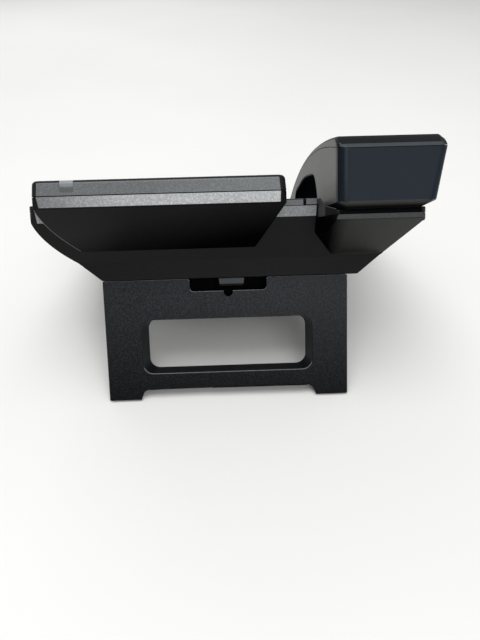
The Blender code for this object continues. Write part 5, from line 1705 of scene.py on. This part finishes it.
@dataclass
class FoldingStand(SubAssembly):
    """The stand with its window, notch and hinge, and the latch above the notch."""

    base: BaseHousing
    setback: float = 0.020
    width: float = 0.141
    clearance: float = 0.0002
    plate: float = 0.0024
    depth: float = 0.0140
    bar: float = 0.0075
    bar_rise: float = 0.0061
    bar_corner: float = 0.0046
    foot: float = 0.0190
    foot_slant: float = 0.0016
    foot_rise: float = 0.0025
    kink_corner: float = 0.0015
    knuckle: float = 0.001
    window_width: float = 0.0994
    window_height: float = 0.0317
    window_drop: float = 0.0233
    window_corner: float = 0.006
    window_taper: tuple[float, float] = (0.0032, 0.0012)
    notch_x: float = -0.0015
    notch_width: float = 0.0440
    notch_depth: float = 0.0073
    notch_hole: float = 0.0027
    notch_corner: float = 0.0020
    notch_wall: float = 0.0120
    hinge_setback: float = 0.0110
    hinge_drop: float = 0.0045
    hinge_inset: float = 0.0065
    lug_width: float = 0.0040
    lug_radius: float = 0.0032
    pin_radius: float = 0.0015
    latch_x: float = -0.0035
    latch_width: float = 0.0147
    latch_drop: float = 0.0047
    latch_thickness: float = 0.0050
    latch_neck: float = 0.0025
    latch_travel: float = 0.0020
    latch_flange: float = 0.0015
    latch_taper: float = 0.0004
    latch_lip: float = 0.0012
    edge: float = 0.0006
    edge_angle: float = 20.0

    @property
    def rear(self) -> float:
        """Rear face of the stand."""
        return self.base.length - self.setback

    @property
    def drop(self) -> float:
        """Level of the desk under the stand's rear face, below the keypad face."""
        return self.base.front_depth + self.rear * math.tan(self.face.lean)

    @property
    def top(self) -> float:
        """Upper edge of the stand."""
        return -self.base.depth - self.clearance

    @property
    def hinge(self) -> Triple:
        """Distance of the lugs from the middle, and the hinge line's place (y, z)."""
        return (self.width / 2 - self.hinge_inset, self.rear - self.hinge_setback,
                -self.base.depth - self.hinge_drop)

    def outline(self) -> Outline:
        """Rear view of the stand (x, z): a plate with two legs.

        Returns:
            The outline.
        """
        half, foot = self.width / 2, self.width / 2 - self.foot
        bar, low, kink = -self.drop + self.bar, -self.drop - self.depth, -self.drop + self.foot_rise
        inner = foot - self.foot_slant
        return Outline.of([
            (-half, self.top + BEYOND), (-half, low), (-foot, low), (-foot, kink, self.kink_corner),
            (-inner, bar, self.bar_corner), (inner, bar, self.bar_corner), (foot, kink, self.kink_corner),
            (foot, low), (half, low), (half, self.top + BEYOND)])

    def side(self, drawn_in: float) -> list[Corner]:
        """Side view of the stand (y, z), its feet cut level with the desk.

        Args:
            drawn_in: How far its ends are drawn in.

        Returns:
            The corners.
        """
        front, hinge_y, hinge_z = self.rear - self.depth, self.hinge[1], self.hinge[2]
        sole = -self.drop + (self.base.pad_proud + drawn_in) / math.cos(self.face.lean)
        return [(front, hinge_z + self.knuckle), (hinge_y, self.top - drawn_in),
                (self.rear, self.top - drawn_in), (self.rear, sole),
                (front, sole + self.depth * math.tan(self.face.lean))]

    def under_bar(self, rise: float) -> Outline:
        """The space under the cross bar (y, z), sloping up to the front.

        Args:
            rise: How far the line is lifted.

        Returns:
            The outline.
        """
        slope = self.bar_rise / self.depth
        rear, front = self.rear + BEYOND, self.rear - self.depth - BEYOND
        low, bar = -self.drop - self.depth, -self.drop + self.bar + rise
        return Outline.of([(rear, low), (rear, bar - slope * BEYOND),
                           (front, bar + slope * (self.depth + BEYOND)), (front, low)])

    def notch(self) -> Outline:
        """The notch in the upper edge (x, z), its mouth rounded outwards.

        Returns:
            The outline.
        """
        left, right = self.notch_x - self.notch_width / 2, self.notch_x + self.notch_width / 2
        brim, bottom, corner = self.top + GAP / 3, self.top - self.notch_depth, self.notch_corner
        far = self.top + BEYOND
        return Outline.of([
            (left - 2 * corner, far), (left - 2 * corner, brim), (left, brim, corner), (left, bottom, corner),
            (right, bottom, corner), (right, brim, corner), (right + 2 * corner, brim),
            (right + 2 * corner, far)])

    def build_stand(self) -> None:
        """Makes the stand."""
        front, wide = self.rear - self.depth, self.width / 2 + BEYOND
        stand = Form.prism(self.outline(), Axis.Y, front - BEYOND, self.rear + BEYOND)
        stand.keep(Form.prism(Outline.of(self.side(0.0)), Axis.X, -wide, wide))
        inner = self.width / 2 - self.foot - self.foot_slant
        bend = math.atan2(self.bar - self.foot_rise, self.foot_slant)
        clear = inner - self.bar_corner * math.tan(bend / 2)
        stand.cut(Form.prism(self.under_bar(0.0), Axis.X, -clear, clear))
        stand.rounded(self.edge, 3, None, self.edge_angle)
        pocket = Form.prism(self.outline().inset(self.plate), Axis.Y, front - 2 * BEYOND,
                            self.rear - self.plate)
        reach = [(front - BEYOND, self.hinge[2] + BEYOND), *self.side(self.plate)[1:4],
                 (front - BEYOND, self.side(self.plate)[4][1] + BEYOND * math.tan(self.face.lean))]
        pocket.keep(Form.prism(Outline.of(reach), Axis.X, -wide, wide))
        pocket.cut(Form.prism(self.under_bar(self.plate), Axis.X, -inner - self.plate, inner + self.plate))
        stand.cut(pocket)
        middle = self.top - self.window_drop - self.window_height / 2
        window = Outline.box(0, middle, self.window_width, self.window_height, self.window_corner)
        stand.join(Form.prism(window.inset(-self.plate), Axis.Y, front + GAP, self.rear - self.plate / 2))
        # A wall closes the notch at the stand's front; with the notch's inside it is painted near-black as
        # painted shadow.
        wall = Outline.box(self.notch_x, self.top - self.notch_wall / 2, self.notch_width + 2 * self.plate,
                           self.notch_wall + self.plate)
        closing = Form.prism(wall, Axis.Y, front + GAP, front + self.plate)
        stand.join(closing.keep(Form.prism(Outline.of(self.side(0.0)), Axis.X, -wide, wide)))
        narrow, shallow = (2 * taper for taper in self.window_taper)
        inside = Outline.box(0, middle, self.window_width - narrow, self.window_height - shallow,
                             self.window_corner)
        stand.cut(self.flared(window, inside, front - BEYOND),
                  self.flared(self.notch(), self.notch(), front + self.plate + GAP))
        hole = Outline.disc(self.notch_x, self.top - self.notch_depth - self.notch_hole / 4, self.notch_hole)
        stand.cut(Form.prism(hole, Axis.Y, self.rear - 2 * self.plate, self.rear + BEYOND))
        for side in (-1, 1):
            stand.cut(*self.hinge_cuts(side))
        half = self.notch_width / 2 + self.edge
        # Painted shadow: the notch's inside, near-black; painted highlight on the rear edges that face up and
        # on one outer side edge.
        stand.painted(1, lambda at, normal: abs(at.x - self.notch_x) < half and at.y < self.rear - self.edge
                      and at.z > self.top - self.notch_wall - self.plate)
        stand.painted(2, lambda at, normal: at.y > self.rear - 1.2 * self.edge and 0.2 < normal.y < 0.95
                      and (normal.z > 0.25 or normal.x < -0.25 and at.x < self.edge - self.width / 2))
        self.fit(stand, "stand", "stand", "stand_dark", [Skin.STAND, Skin.NOTCH, Skin.EDGE])

    def flared(self, opening: Outline, inside: Outline, start: float) -> Form:
        """A cutter whose mouth opens in a small round at the stand's rear face.

        Args:
            opening: The opening's outline (x, z) at the rear face.
            inside: Its outline where it starts.
            start: Where it starts.

        Returns:
            The cutter.
        """
        lip = self.edge
        levels = [(inside, start)]
        levels += [(opening.inset(-lip * (1 - math.cos(t))), self.rear - lip * (1 - math.sin(t)))
                   for t in quarter(3)]
        levels.append((opening.inset(-lip), self.rear + BEYOND))
        return Form.stacked(levels, Axis.Y)

    def hinge_cuts(self, side: int) -> list[Form]:
        """Cutters for one lug's slot and its pin.

        Args:
            side: -1 for the left lug, 1 for the right one.

        Returns:
            The cutters.
        """
        x, y, z = self.hinge
        near, far = self.rear - self.depth - BEYOND, self.rear - self.plate - GAP
        slot = Outline.box(side * x, (near + far) / 2, self.lug_width + 4 * GAP, far - near)
        ends = sorted((side * (x + self.lug_width / 2), side * (self.width / 2 + BEYOND)))
        return [Form.prism(slot, Axis.Z, z - self.lug_radius - BEYOND, self.top + BEYOND),
                Form.prism(Outline.disc(y, z, self.pin_radius + GAP), Axis.X, *ends)]

    def lugs(self) -> tuple[list[Form], list[Form]]:
        """The hinge lugs under the base, and their bores.

        Returns:
            The lugs, and the cutters for the bores.
        """
        x, y, z = self.hinge
        radius, roof, bend = self.lug_radius, self.base.floor_top - WALL / 2, 0.98 * self.lug_radius
        outline = Outline.of([(y - radius, z - radius, bend), (y + radius, z - radius, bend),
                              (y + radius, roof), (y - radius, roof)])
        half = self.lug_width / 2
        lugs = [Form.prism(outline, Axis.X, side * x - half, side * x + half) for side in (-1, 1)]
        bores = [Form.prism(Outline.disc(y, z, self.pin_radius + GAP), Axis.X, side * x - 2 * half,
                            side * x + 2 * half) for side in (-1, 1)]
        return lugs, bores

    @property
    def latch_front(self) -> float:
        """Front of the latch's neck."""
        return self.base.length - self.base.heel_setback - WALL - 2 * GAP - self.latch_neck

    def latch_gate(self) -> Form:
        """The slot in the underside that the latch slides in."""
        outline = Outline.box(self.latch_x, self.latch_front + (self.latch_neck - self.latch_travel) / 2,
                              self.latch_width - 2 * self.latch_neck + 2 * GAP,
                              self.latch_neck + self.latch_travel + 2 * GAP)
        return Form.prism(outline, Axis.Z, -self.base.depth - BEYOND, self.base.floor_top + GAP)

    def build_latch(self) -> None:
        """Makes the latch: a tab that tapers downwards, with a neck and a flange inside the base."""
        front, floor = self.latch_front, self.base.floor_top
        low, high = -self.base.depth - self.latch_drop, -self.base.depth - GAP
        taper, lip = self.latch_taper, self.latch_lip
        y, thick = front + self.latch_thickness / 2, self.latch_thickness

        def ring(drawn_in: float, cut_back: float, z: float) -> tuple[Outline, float]:
            """The tab's outline, drawn in at its ends and cut back at its rear, at one level."""
            return Outline.box(self.latch_x, y - cut_back / 2, self.latch_width - 2 * drawn_in,
                               thick - cut_back, GAP), z

        tab = Form.stacked([ring(taper + GAP, lip + GAP, low), ring(taper, lip, low + GAP),
                            ring(taper, 0, low + lip), ring(0, 0, high - GAP), ring(GAP, GAP, high)],
                           steps=4)
        tab.join(Form.prism(Outline.box(self.latch_x, front + self.latch_neck / 2,
                                        self.latch_width - 2 * self.latch_neck, self.latch_neck), Axis.Z,
                            low + 2 * lip, floor + 2 * GAP),
                 Form.prism(Outline.box(self.latch_x, front + (self.latch_neck - self.latch_travel) / 2,
                                        self.latch_width, self.latch_neck + self.latch_travel), Axis.Z,
                            floor + GAP, floor + GAP + self.latch_flange))
        # Painted shade: the tab's lower, downward faces take the darker bezel plastic.
        tab.painted(1, lambda at, normal: at.z < low + lip + GAP / 3 and normal.z < 0.1)
        self.fit(tab, "stand_latch", "latch", "latch_grey", [Skin.LATCH, Skin.BEZEL])


@dataclass
class Handset(SubAssembly):
    """The handset: a back shell and a front shell with the perforations of its receiver and microphone."""

    x: float = -0.0799
    inner: float = 0.0550
    outer: float = 0.1086
    draft: float = 0.0049
    rear: float = 0.223
    front: float = 0.018
    bottom: float = -0.0080
    seam: float = 0.0200
    chamfer: float = 0.0034
    ear_top: float = 0.0266
    mouth_top: float = 0.0145
    crown: float = 0.0438
    ear_length: float = 0.0505
    mouth_length: float = 0.0340
    arch: float = 0.0215
    bow: float = 0.010
    seam_bow: float = 0.008
    seam_rise: float = 0.0022
    arch_bend: float = 0.120
    mouth_bend: float = 0.014
    ear_bend: float = 0.022
    mouth_run: float = 0.016
    mouth_fall: float = 0.005
    ear_run: float = 0.015
    ear_fall: float = 0.0043
    brow: float = 0.0019
    brow_run: float = 0.0012
    undercut: float = 0.0078
    corner: float = 0.0048
    shoulder: float = 0.0026
    shoulder_slant: float = 1.3
    edge: float = 0.0012
    lip: float = 0.0008
    tongue: float = 0.0012
    jack_size: tuple[float, float] = (0.0110, 0.0105)
    hole_radius: float = 0.0006
    hole_pitch: float = 0.0026
    hole_row: float = 0.87
    ear_holes: tuple[int, int] = (7, 8)
    mouth_holes: tuple[int, int] = (2, 4)
    microphone: float = 0.6

    def side(self) -> Outline:
        """Side outline (y, z): an arched grip between two deep ends.

        Returns:
            The outline.
        """
        low, arch, chamfer = self.bottom - BEYOND / 4, self.arch, self.chamfer
        back = bow((self.rear - 2 * chamfer, self.ear_top),
                   ((self.rear + self.front) / 2 - self.bow, self.crown),
                   (self.front + 3 * chamfer, self.mouth_top), 2 * CURVE_STEPS)
        ear, mouth = self.rear - self.ear_length, self.front + self.mouth_length
        return Outline.of([
            (self.rear - chamfer / 2, low), (self.rear, self.bottom + chamfer), (self.rear, self.seam),
            (self.rear - self.brow_run, self.seam + self.brow), *back,
            (self.front, self.mouth_top - 2 * chamfer), (self.front, self.bottom + chamfer),
            (self.front + chamfer / 2, low), (mouth, low),
            (mouth + self.mouth_run, arch - self.mouth_fall, self.mouth_bend),
            ((ear + mouth) / 2, arch, self.arch_bend),
            (ear - self.ear_run, arch - self.ear_fall, self.ear_bend), (ear, low)])

    def seam_height(self, y: float) -> float:
        """Height of the parting line at one place along the handset."""
        line = self.parting(0.0)
        return next(q[1] + (p[1] - q[1]) * (y - q[0]) / (p[0] - q[0])
                    for p, q in zip(line, line[1:]) if q[0] <= y)

    def ring(self, y: float, low: float, high: float, thickness: float) -> Outline:
        """Cross outline at one place (x, z): upright inner side, leaning outer side, a cut outer shoulder.

        Args:
            y: The place along the handset.
            low: Height of its underside there.
            high: Height of its back there.
            thickness: How far it is drawn in.

        Returns:
            The outline, always with the same number of corners.
        """
        corner = max(self.corner - thickness, self.corner / 4)
        past = max(y - self.rear + thickness + corner, self.front + thickness + corner - y, 0.0)
        drawn_in = thickness + corner - math.sqrt(max(corner ** 2 - past ** 2, 0.0))
        floor = self.bottom + thickness
        low = max(low, floor)
        slope = max(floor + self.chamfer - low, self.lip)
        spread = 1 + (self.undercut / self.chamfer - 1) * min(slope / self.chamfer, 1.0)
        shoulder = min(max(high - self.seam_height(y), self.lip), self.shoulder, (high - low) / 3)
        lean = self.draft / (self.seam - self.bottom - self.chamfer)

        def outer(z: float) -> float:
            """Where the outer side lies at a height."""
            return -self.outer + lean * max(self.seam - z, 0.0) + drawn_in

        inner, edge = -self.inner - drawn_in, self.edge
        return Outline.of([
            (inner - slope, low, self.lip), (inner, low + slope, edge), (inner, high, 1.6 * edge),
            (outer(high - shoulder) + self.shoulder_slant * shoulder, high, edge),
            (outer(high - shoulder), high - shoulder, edge / 2),
            (outer(low + slope), low + slope, edge), (outer(low + slope) + spread * slope, low, self.lip)])

    def block(self, thickness: float) -> Form:
        """The whole handset as one block, drawn through cross outlines from end to end.

        Args:
            thickness: How far it is drawn in, a wall for the hollow.

        Returns:
            The block.
        """
        side = self.side().inset(thickness).vertices(16)
        front, rear, corner = self.front + thickness, self.rear - thickness, self.corner
        turns = [math.sin(t) for t in quarter(10)]
        stops = {rear - corner + corner * t for t in turns} | {front + corner - corner * t for t in turns}
        stops |= {point.x for point in side if front + corner < point.x < rear - corner}
        rings: list[tuple[Outline, float]] = []
        for stop in sorted(stops):
            y = min(max(stop, front + MERGE), rear - MERGE)
            if rings and y - rings[-1][1] < 100 * MERGE:
                continue
            heights = [p.y + (q.y - p.y) * (y - p.x) / (q.x - p.x) for p, q in zip(side, side[1:] + side[:1])
                       if (p.x - y) * (q.x - y) <= 0 and abs(p.x - q.x) > MERGE]
            rings.append((self.ring(y, min(heights), max(heights), thickness), y))
        return Form.stacked(rings, Axis.Y, 4, True)

    def parting(self, rise: float) -> list[Corner]:
        """Parting line of the two shells (y, z).

        Args:
            rise: How far the line is lifted.

        Returns:
            Its points, from the ear end.
        """
        low = self.mouth_top - 2 * self.chamfer + rise
        line = bow((self.rear, self.seam + rise),
                   ((self.rear + self.front) / 2 - self.seam_bow, self.crown + self.seam_rise + rise),
                   (self.front, low), 2 * CURVE_STEPS)
        return [(self.rear + BEYOND, self.seam + rise), *line, (self.front - BEYOND, low)]

    def perforations(self, y: float, rows: int, columns: int) -> Form:
        """Round holes in rows, each row set by Geometry Nodes.

        Args:
            y: Middle of the pattern.
            rows: Number of rows.
            columns: Holes in the middle row.

        Returns:
            The holes as one cutter.
        """
        made = []
        for row in range(rows):
            away = abs(row - (rows - 1) / 2)
            count = columns - round(away)
            pin = Form.prism(Outline.disc(0, 0, self.hole_radius, 10), Axis.Z, self.bottom - BEYOND,
                             self.bottom + WALL + GAP)
            start = Vector((self.x - (count - 1) / 2 * self.hole_pitch,
                            y + (row - (rows - 1) / 2) * self.hole_pitch * self.hole_row, 0))
            made.append(CopyRow(pin, count, start, Vector((self.hole_pitch, 0, 0)), Skin.HANDSET).made())
        return Form.gathered(made)

    def belt(self, low: float, high: float, thickness: float) -> Form:
        """What lies inside a skin of the handset, between two levels along the parting line.

        Args:
            low: Lower level.
            high: Upper level.
            thickness: Thickness of the skin.

        Returns:
            The belt.
        """
        outline = Outline.of([*self.parting(low), *self.parting(high)[::-1]])
        made = Form.prism(outline, Axis.X, -self.outer - BEYOND, -self.inner + BEYOND)
        return made.keep(self.block(thickness))

    def build(self) -> None:
        """Makes both shells, the back one with a tongue that closes the joint."""
        left, right = -self.outer - BEYOND, -self.inner + BEYOND
        for name, level, rise in (("handset_back_shell", HIGH, GAP / 2),
                                  ("handset_front_shell", -HIGH, -GAP / 2)):
            line = self.parting(rise)
            half = Outline.of([*line, (line[-1][0], level), (line[0][0], level)])
            shell = Form.prism(half, Axis.X, left, right)
            shell.keep(self.block(0.0)).cut(self.block(WALL))
            if level > 0:
                tongue = self.belt(-self.tongue, 2 * GAP, WALL / 2 + GAP / 2).cut(self.block(WALL - GAP / 9))
                shell.join(tongue)
            else:
                shell.cut(self.belt(-self.tongue - GAP, 2 * GAP, WALL / 2))
                width, height = self.jack_size
                z = self.bottom + WALL + GAP + height / 2
                gate = Outline.box(self.x, z, width + 2 * GAP, height + 2 * GAP)
                shell.cut(Form.prism(gate, Axis.Y, self.front - BEYOND, self.front + 2 * WALL))
                shell.cut(self.perforations(self.rear - self.ear_length / 2, *self.ear_holes),
                          self.perforations(self.front + self.microphone * self.mouth_length,
                                            *self.mouth_holes))
            # Painted light, each face's finish chosen by the way it points: a painted reflection on the inner
            # side, painted shade on the top, a painted highlight on the band at the top of the ear end, a
            # painted reflection fading to painted shadow on the belly under the ear end, and a painted
            # highlight on the rounded inner edge of the ear end.
            shell.painted(1, lambda at, normal: normal.x > 0.9 and at.x > -self.inner - self.edge)
            shell.painted(2, lambda at, normal: normal.z > 0.6)
            shell.painted(3, lambda at, normal: normal.y > 0.72 and normal.z > 0.25)
            shell.painted(4, lambda at, normal: normal.y > 0.15 and normal.z < -0.25
                          and at.y > self.rear - self.ear_length / 2)
            shell.painted(5, lambda at, normal: normal.y > 0.95 and normal.x > 0.04)
            self.fit(shell, name, "handset", "handset_dark",
                     [Skin.HANDSET, Skin.GRIP, Skin.CROWN, Skin.BAND, Skin.BELLY, Skin.GLEAM])


@dataclass
class Sockets(SubAssembly):
    """Spring contacts inside the network, handset and headset sockets."""

    base: BaseHousing
    jack_y: float = 0.128
    network_x: float = 0.0230
    network_pitch: float = 0.0160
    network_mouth: tuple[float, float] = (0.0118, 0.0084)
    port_x: float = -0.0200
    port_pitch: float = 0.0118
    port_mouth: tuple[float, float] = (0.0078, 0.0068)
    mouth_depth: float = 0.0105
    jack_wall: float = 0.0018
    wire: float = 0.00045
    wire_pitch: float = 0.00102
    wire_reach: float = 0.55

    def gates(self) -> list[Form]:
        """Cutters for the two socket blocks in the underside.

        Returns:
            The cutters.
        """
        made = []
        for x, mouth, pitch in ((self.network_x, self.network_mouth, self.network_pitch),
                                (self.port_x, self.port_mouth, self.port_pitch)):
            width, height = pitch + mouth[0] + 2 * self.jack_wall, mouth[1] + 2 * self.jack_wall
            outline = Outline.box(x, self.jack_y, width + 2 * GAP, height + 2 * GAP)
            made.append(Form.prism(outline, Axis.Z, -self.base.depth - BEYOND, self.base.floor_top + BEYOND))
        return made

    def wires(self, x: float, y: float, count: int, height: float) -> Form:
        """A row of bent contact wires in one mouth that opens downwards.

        Args:
            x: Middle of the mouth.
            y: Middle of the mouth, up the slope.
            count: Number of wires.
            height: Height of the mouth.

        Returns:
            The wires as one form.
        """
        roof, thin = -self.base.depth + self.mouth_depth, self.wire
        back, end = height / 2 - GAP / 2, roof - self.wire_reach * self.mouth_depth
        section = Outline.of([
            (y + back, roof - thin), (y + back, roof - 2 * thin), (y + back - 2 * thin, roof - 3 * thin),
            (y + back - height / 2, end), (y + back - height / 2 + thin, end),
            (y + back - thin, roof - 2.4 * thin), (y + back - thin / 2, roof - thin)])
        wire = Form.prism(section, Axis.X, -thin / 2, thin / 2)
        start = Vector((x - (count - 1) / 2 * self.wire_pitch, 0, 0))
        return CopyRow(wire, count, start, Vector((self.wire_pitch, 0, 0)), Skin.GOLD).made()

    def build(self) -> None:
        """Makes the contacts of the four sockets in the underside."""
        rows = [self.wires(x + side * pitch / 2, self.jack_y, count, mouth[1])
                for x, pitch, mouth, count in ((self.network_x, self.network_pitch, self.network_mouth, 8),
                                               (self.port_x, self.port_pitch, self.port_mouth, 4))
                for side in (-1, 1)]
        self.fit(Form.gathered(rows), "socket_contacts", "base", "steel", [Skin.GOLD])


@dataclass
class Screws(SubAssembly):
    """The four case screws with their cross recesses."""

    base: BaseHousing
    head_height: float = 0.0018
    head_round: float = 0.0005
    length: float = 0.0120
    tip: float = 0.001
    recess_width: float = 0.0007
    recess_length: float = 0.0034
    recess_depth: float = 0.0010

    def screw(self) -> Form:
        """One screw about the origin, its head down.

        Returns:
            The screw.
        """
        base, lip, head = self.base, self.head_round, -self.base.depth + GAP
        neck = head + self.head_height
        end = neck + self.length
        levels = [(base.screw_head - lip * (1 - math.sin(t)), head + lip * (1 - math.cos(t)))
                  for t in quarter(3)]
        levels += [(base.screw_head, neck), (base.screw_radius, neck), (base.screw_radius, end - self.tip),
                   (base.screw_radius / 2, end)]
        made = Form.stacked((Outline.disc(0, 0, radius, 24), z) for radius, z in levels)
        for size in ((self.recess_length, self.recess_width), (self.recess_width, self.recess_length)):
            made.cut(Form.prism(Outline.box(0, 0, *size), Axis.Z, head - BEYOND, head + self.recess_depth))
        return made

    def build(self) -> None:
        """Sets two screws in each row with Geometry Nodes."""
        base, rows = self.base, []
        for y in base.screw_rows:
            rows.append(CopyRow(self.screw(), 2, Vector((-base.screw_left, y, 0)),
                                Vector((base.screw_left + base.screw_right, 0, 0)), Skin.STEEL).made())
        nodes = [f"base_screw_{i}" for i in range(1, 5)]
        self.fit(Form.gathered(rows), "base_screws", "base", "steel", [Skin.STEEL], nodes)


@dataclass(frozen=True)
class CarriedOver:
    """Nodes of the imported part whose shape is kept, with the finish that each one gets."""

    skins: tuple[tuple[Skin, tuple[str, ...]], ...] = (
        (Skin.BOARD, ("main_board", "key_board")), (Skin.MAT, ("keypad_mat",)),
        (Skin.JACK, ("network_jacks", "handset_ports", "handset_jack")),
        (Skin.STEEL, ("hinge_pin_left", "hinge_pin_right")),
        (Skin.CAPSULE, ("loudspeaker", "handset_receiver", "handset_microphone")),
        (Skin.LENS, ("lcd_panel",)),
        (Skin.PAD, ("front_pad_left", "front_pad_right", "stand_pad_left", "stand_pad_right")))

    def dress(self) -> None:
        """Gives each kept node its finish."""
        for skin, names in self.skins:
            for name in names:
                node = frame["nodes"][name]
                node.data.materials.clear()
                node.data.materials.append(skin.material())
                LOG.info("%s: kept, finish %s", name, skin.name)


@dataclass
class Studio:
    """A pale floor, soft light and the camera."""

    camera_place: Triple = (0.0010, 0.3138, 0.2289)
    pitch: float = math.radians(38.85)
    yaw: float = -0.0216
    roll: float = math.radians(1.05)
    lens: float = 38.67
    sensor: float = 36.0
    aim: float = 0.07
    floor_size: float = 8.0
    floor_colour: Colour = (0.80, 0.80, 0.79)
    world_strength: float = 0.55

    def build(self) -> None:
        """Sets up floor, light, camera and view."""
        self.build_floor()
        self.build_light()
        self.build_camera()
        bpy.context.scene.view_settings.view_transform = "Standard"

    def build_floor(self) -> None:
        """Lays the floor under the phone."""
        shape = bmesh.new()
        bmesh.ops.create_grid(shape, x_segments=1, y_segments=1, size=self.floor_size / 2)
        mesh = bpy.data.meshes.new("floor")
        shape.to_mesh(mesh)
        shape.free()
        floor = placed("floor", mesh)
        shader = Shader("floor_pale")
        shade = tuple(0.97 * c for c in self.floor_colour)
        shader.feed(Base_Color=shader.ramp(shader.noise(0.4), *SOFT, shade, self.floor_colour))
        shader.fix(Roughness=0.8)
        mesh.materials.append(shader.material)

    def build_light(self) -> None:
        """Lights the room evenly, with soft lamps above and behind the camera."""
        world = bpy.data.worlds.new("studio")
        world.use_nodes = True
        sky = world.node_tree.nodes["Background"]
        sky.inputs["Color"].default_value = (1.0, 0.995, 0.985, 1.0)
        sky.inputs["Strength"].default_value = self.world_strength
        bpy.context.scene.world = world
        for name, place, size, power in (("overhead_lamp", (0.0, 0.3, 1.6), 1.2, 16.0),
                                         ("camera_side_lamp", (-0.5, 1.6, 1.0), 0.9, 9.0),
                                         ("front_lamp", (0.6, -1.5, 1.1), 1.0, 7.0)):
            lamp = bpy.data.lights.new(name, "AREA")
            lamp.size = size
            lamp.energy = power
            holder = placed(name, lamp)
            holder.location = place
            down = Vector((0, 0, self.aim)) - Vector(place)
            holder.rotation_euler = down.to_track_quat("-Z", "Y").to_euler()

    def build_camera(self) -> None:
        """Puts the camera behind the phone, looking down at it."""
        data = bpy.data.cameras.new("camera")
        data.sensor_fit = "HORIZONTAL"
        data.sensor_width = self.sensor
        data.lens = self.lens
        camera = placed("camera", data)
        flat = math.cos(self.pitch)
        ahead = Vector((math.sin(self.yaw) * flat, -math.cos(self.yaw) * flat, -math.sin(self.pitch)))
        right = ahead.cross(Vector((0, 0, 1))).normalized()
        up = right.cross(ahead)
        turned = math.cos(self.roll) * right - math.sin(self.roll) * up
        upright = math.sin(self.roll) * right + math.cos(self.roll) * up
        turn = Matrix((turned, upright, -ahead)).transposed()
        camera.matrix_world = Matrix.Translation(self.camera_place) @ turn.to_4x4()
        bpy.context.scene.camera = camera


def main() -> None:
    """Builds every sub-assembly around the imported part, then the studio."""
    logging.basicConfig(level=logging.INFO, format="%(name)s %(message)s")
    level = FaceFrame(Matrix.Identity(4))
    plain = Keypad(level, DisplayHead(level, BaseHousing(level)))
    face = FaceFrame.from_joints(frame["joints"], Vector((plain.rocker_x, plain.rocker_y, 0)))
    base = BaseHousing(face)
    head = DisplayHead(face, base)
    keypad = Keypad(face, head)
    stand = FoldingStand(face, base)
    cradle = HandsetCradle(face, base)
    sockets = Sockets(face, base)
    lugs, bores = stand.lugs()
    base.build_shell([*sockets.gates(), stand.latch_gate()], lugs, bores)
    base.build_faceplate(keypad.face_keys(), keypad.corner)
    cradle.build_cradle()
    cradle.build_plunger()
    head.build_cover()
    head.build_bezel(keypad.head_keys(), keypad.corner)
    head.build_lamp()
    head.build_window()
    keypad.build()
    stand.build_stand()
    stand.build_latch()
    Handset(face).build()
    sockets.build()
    Screws(face, base).build()
    CarriedOver().dress()
    Studio().build()


if __name__ == "__main__":
    main()
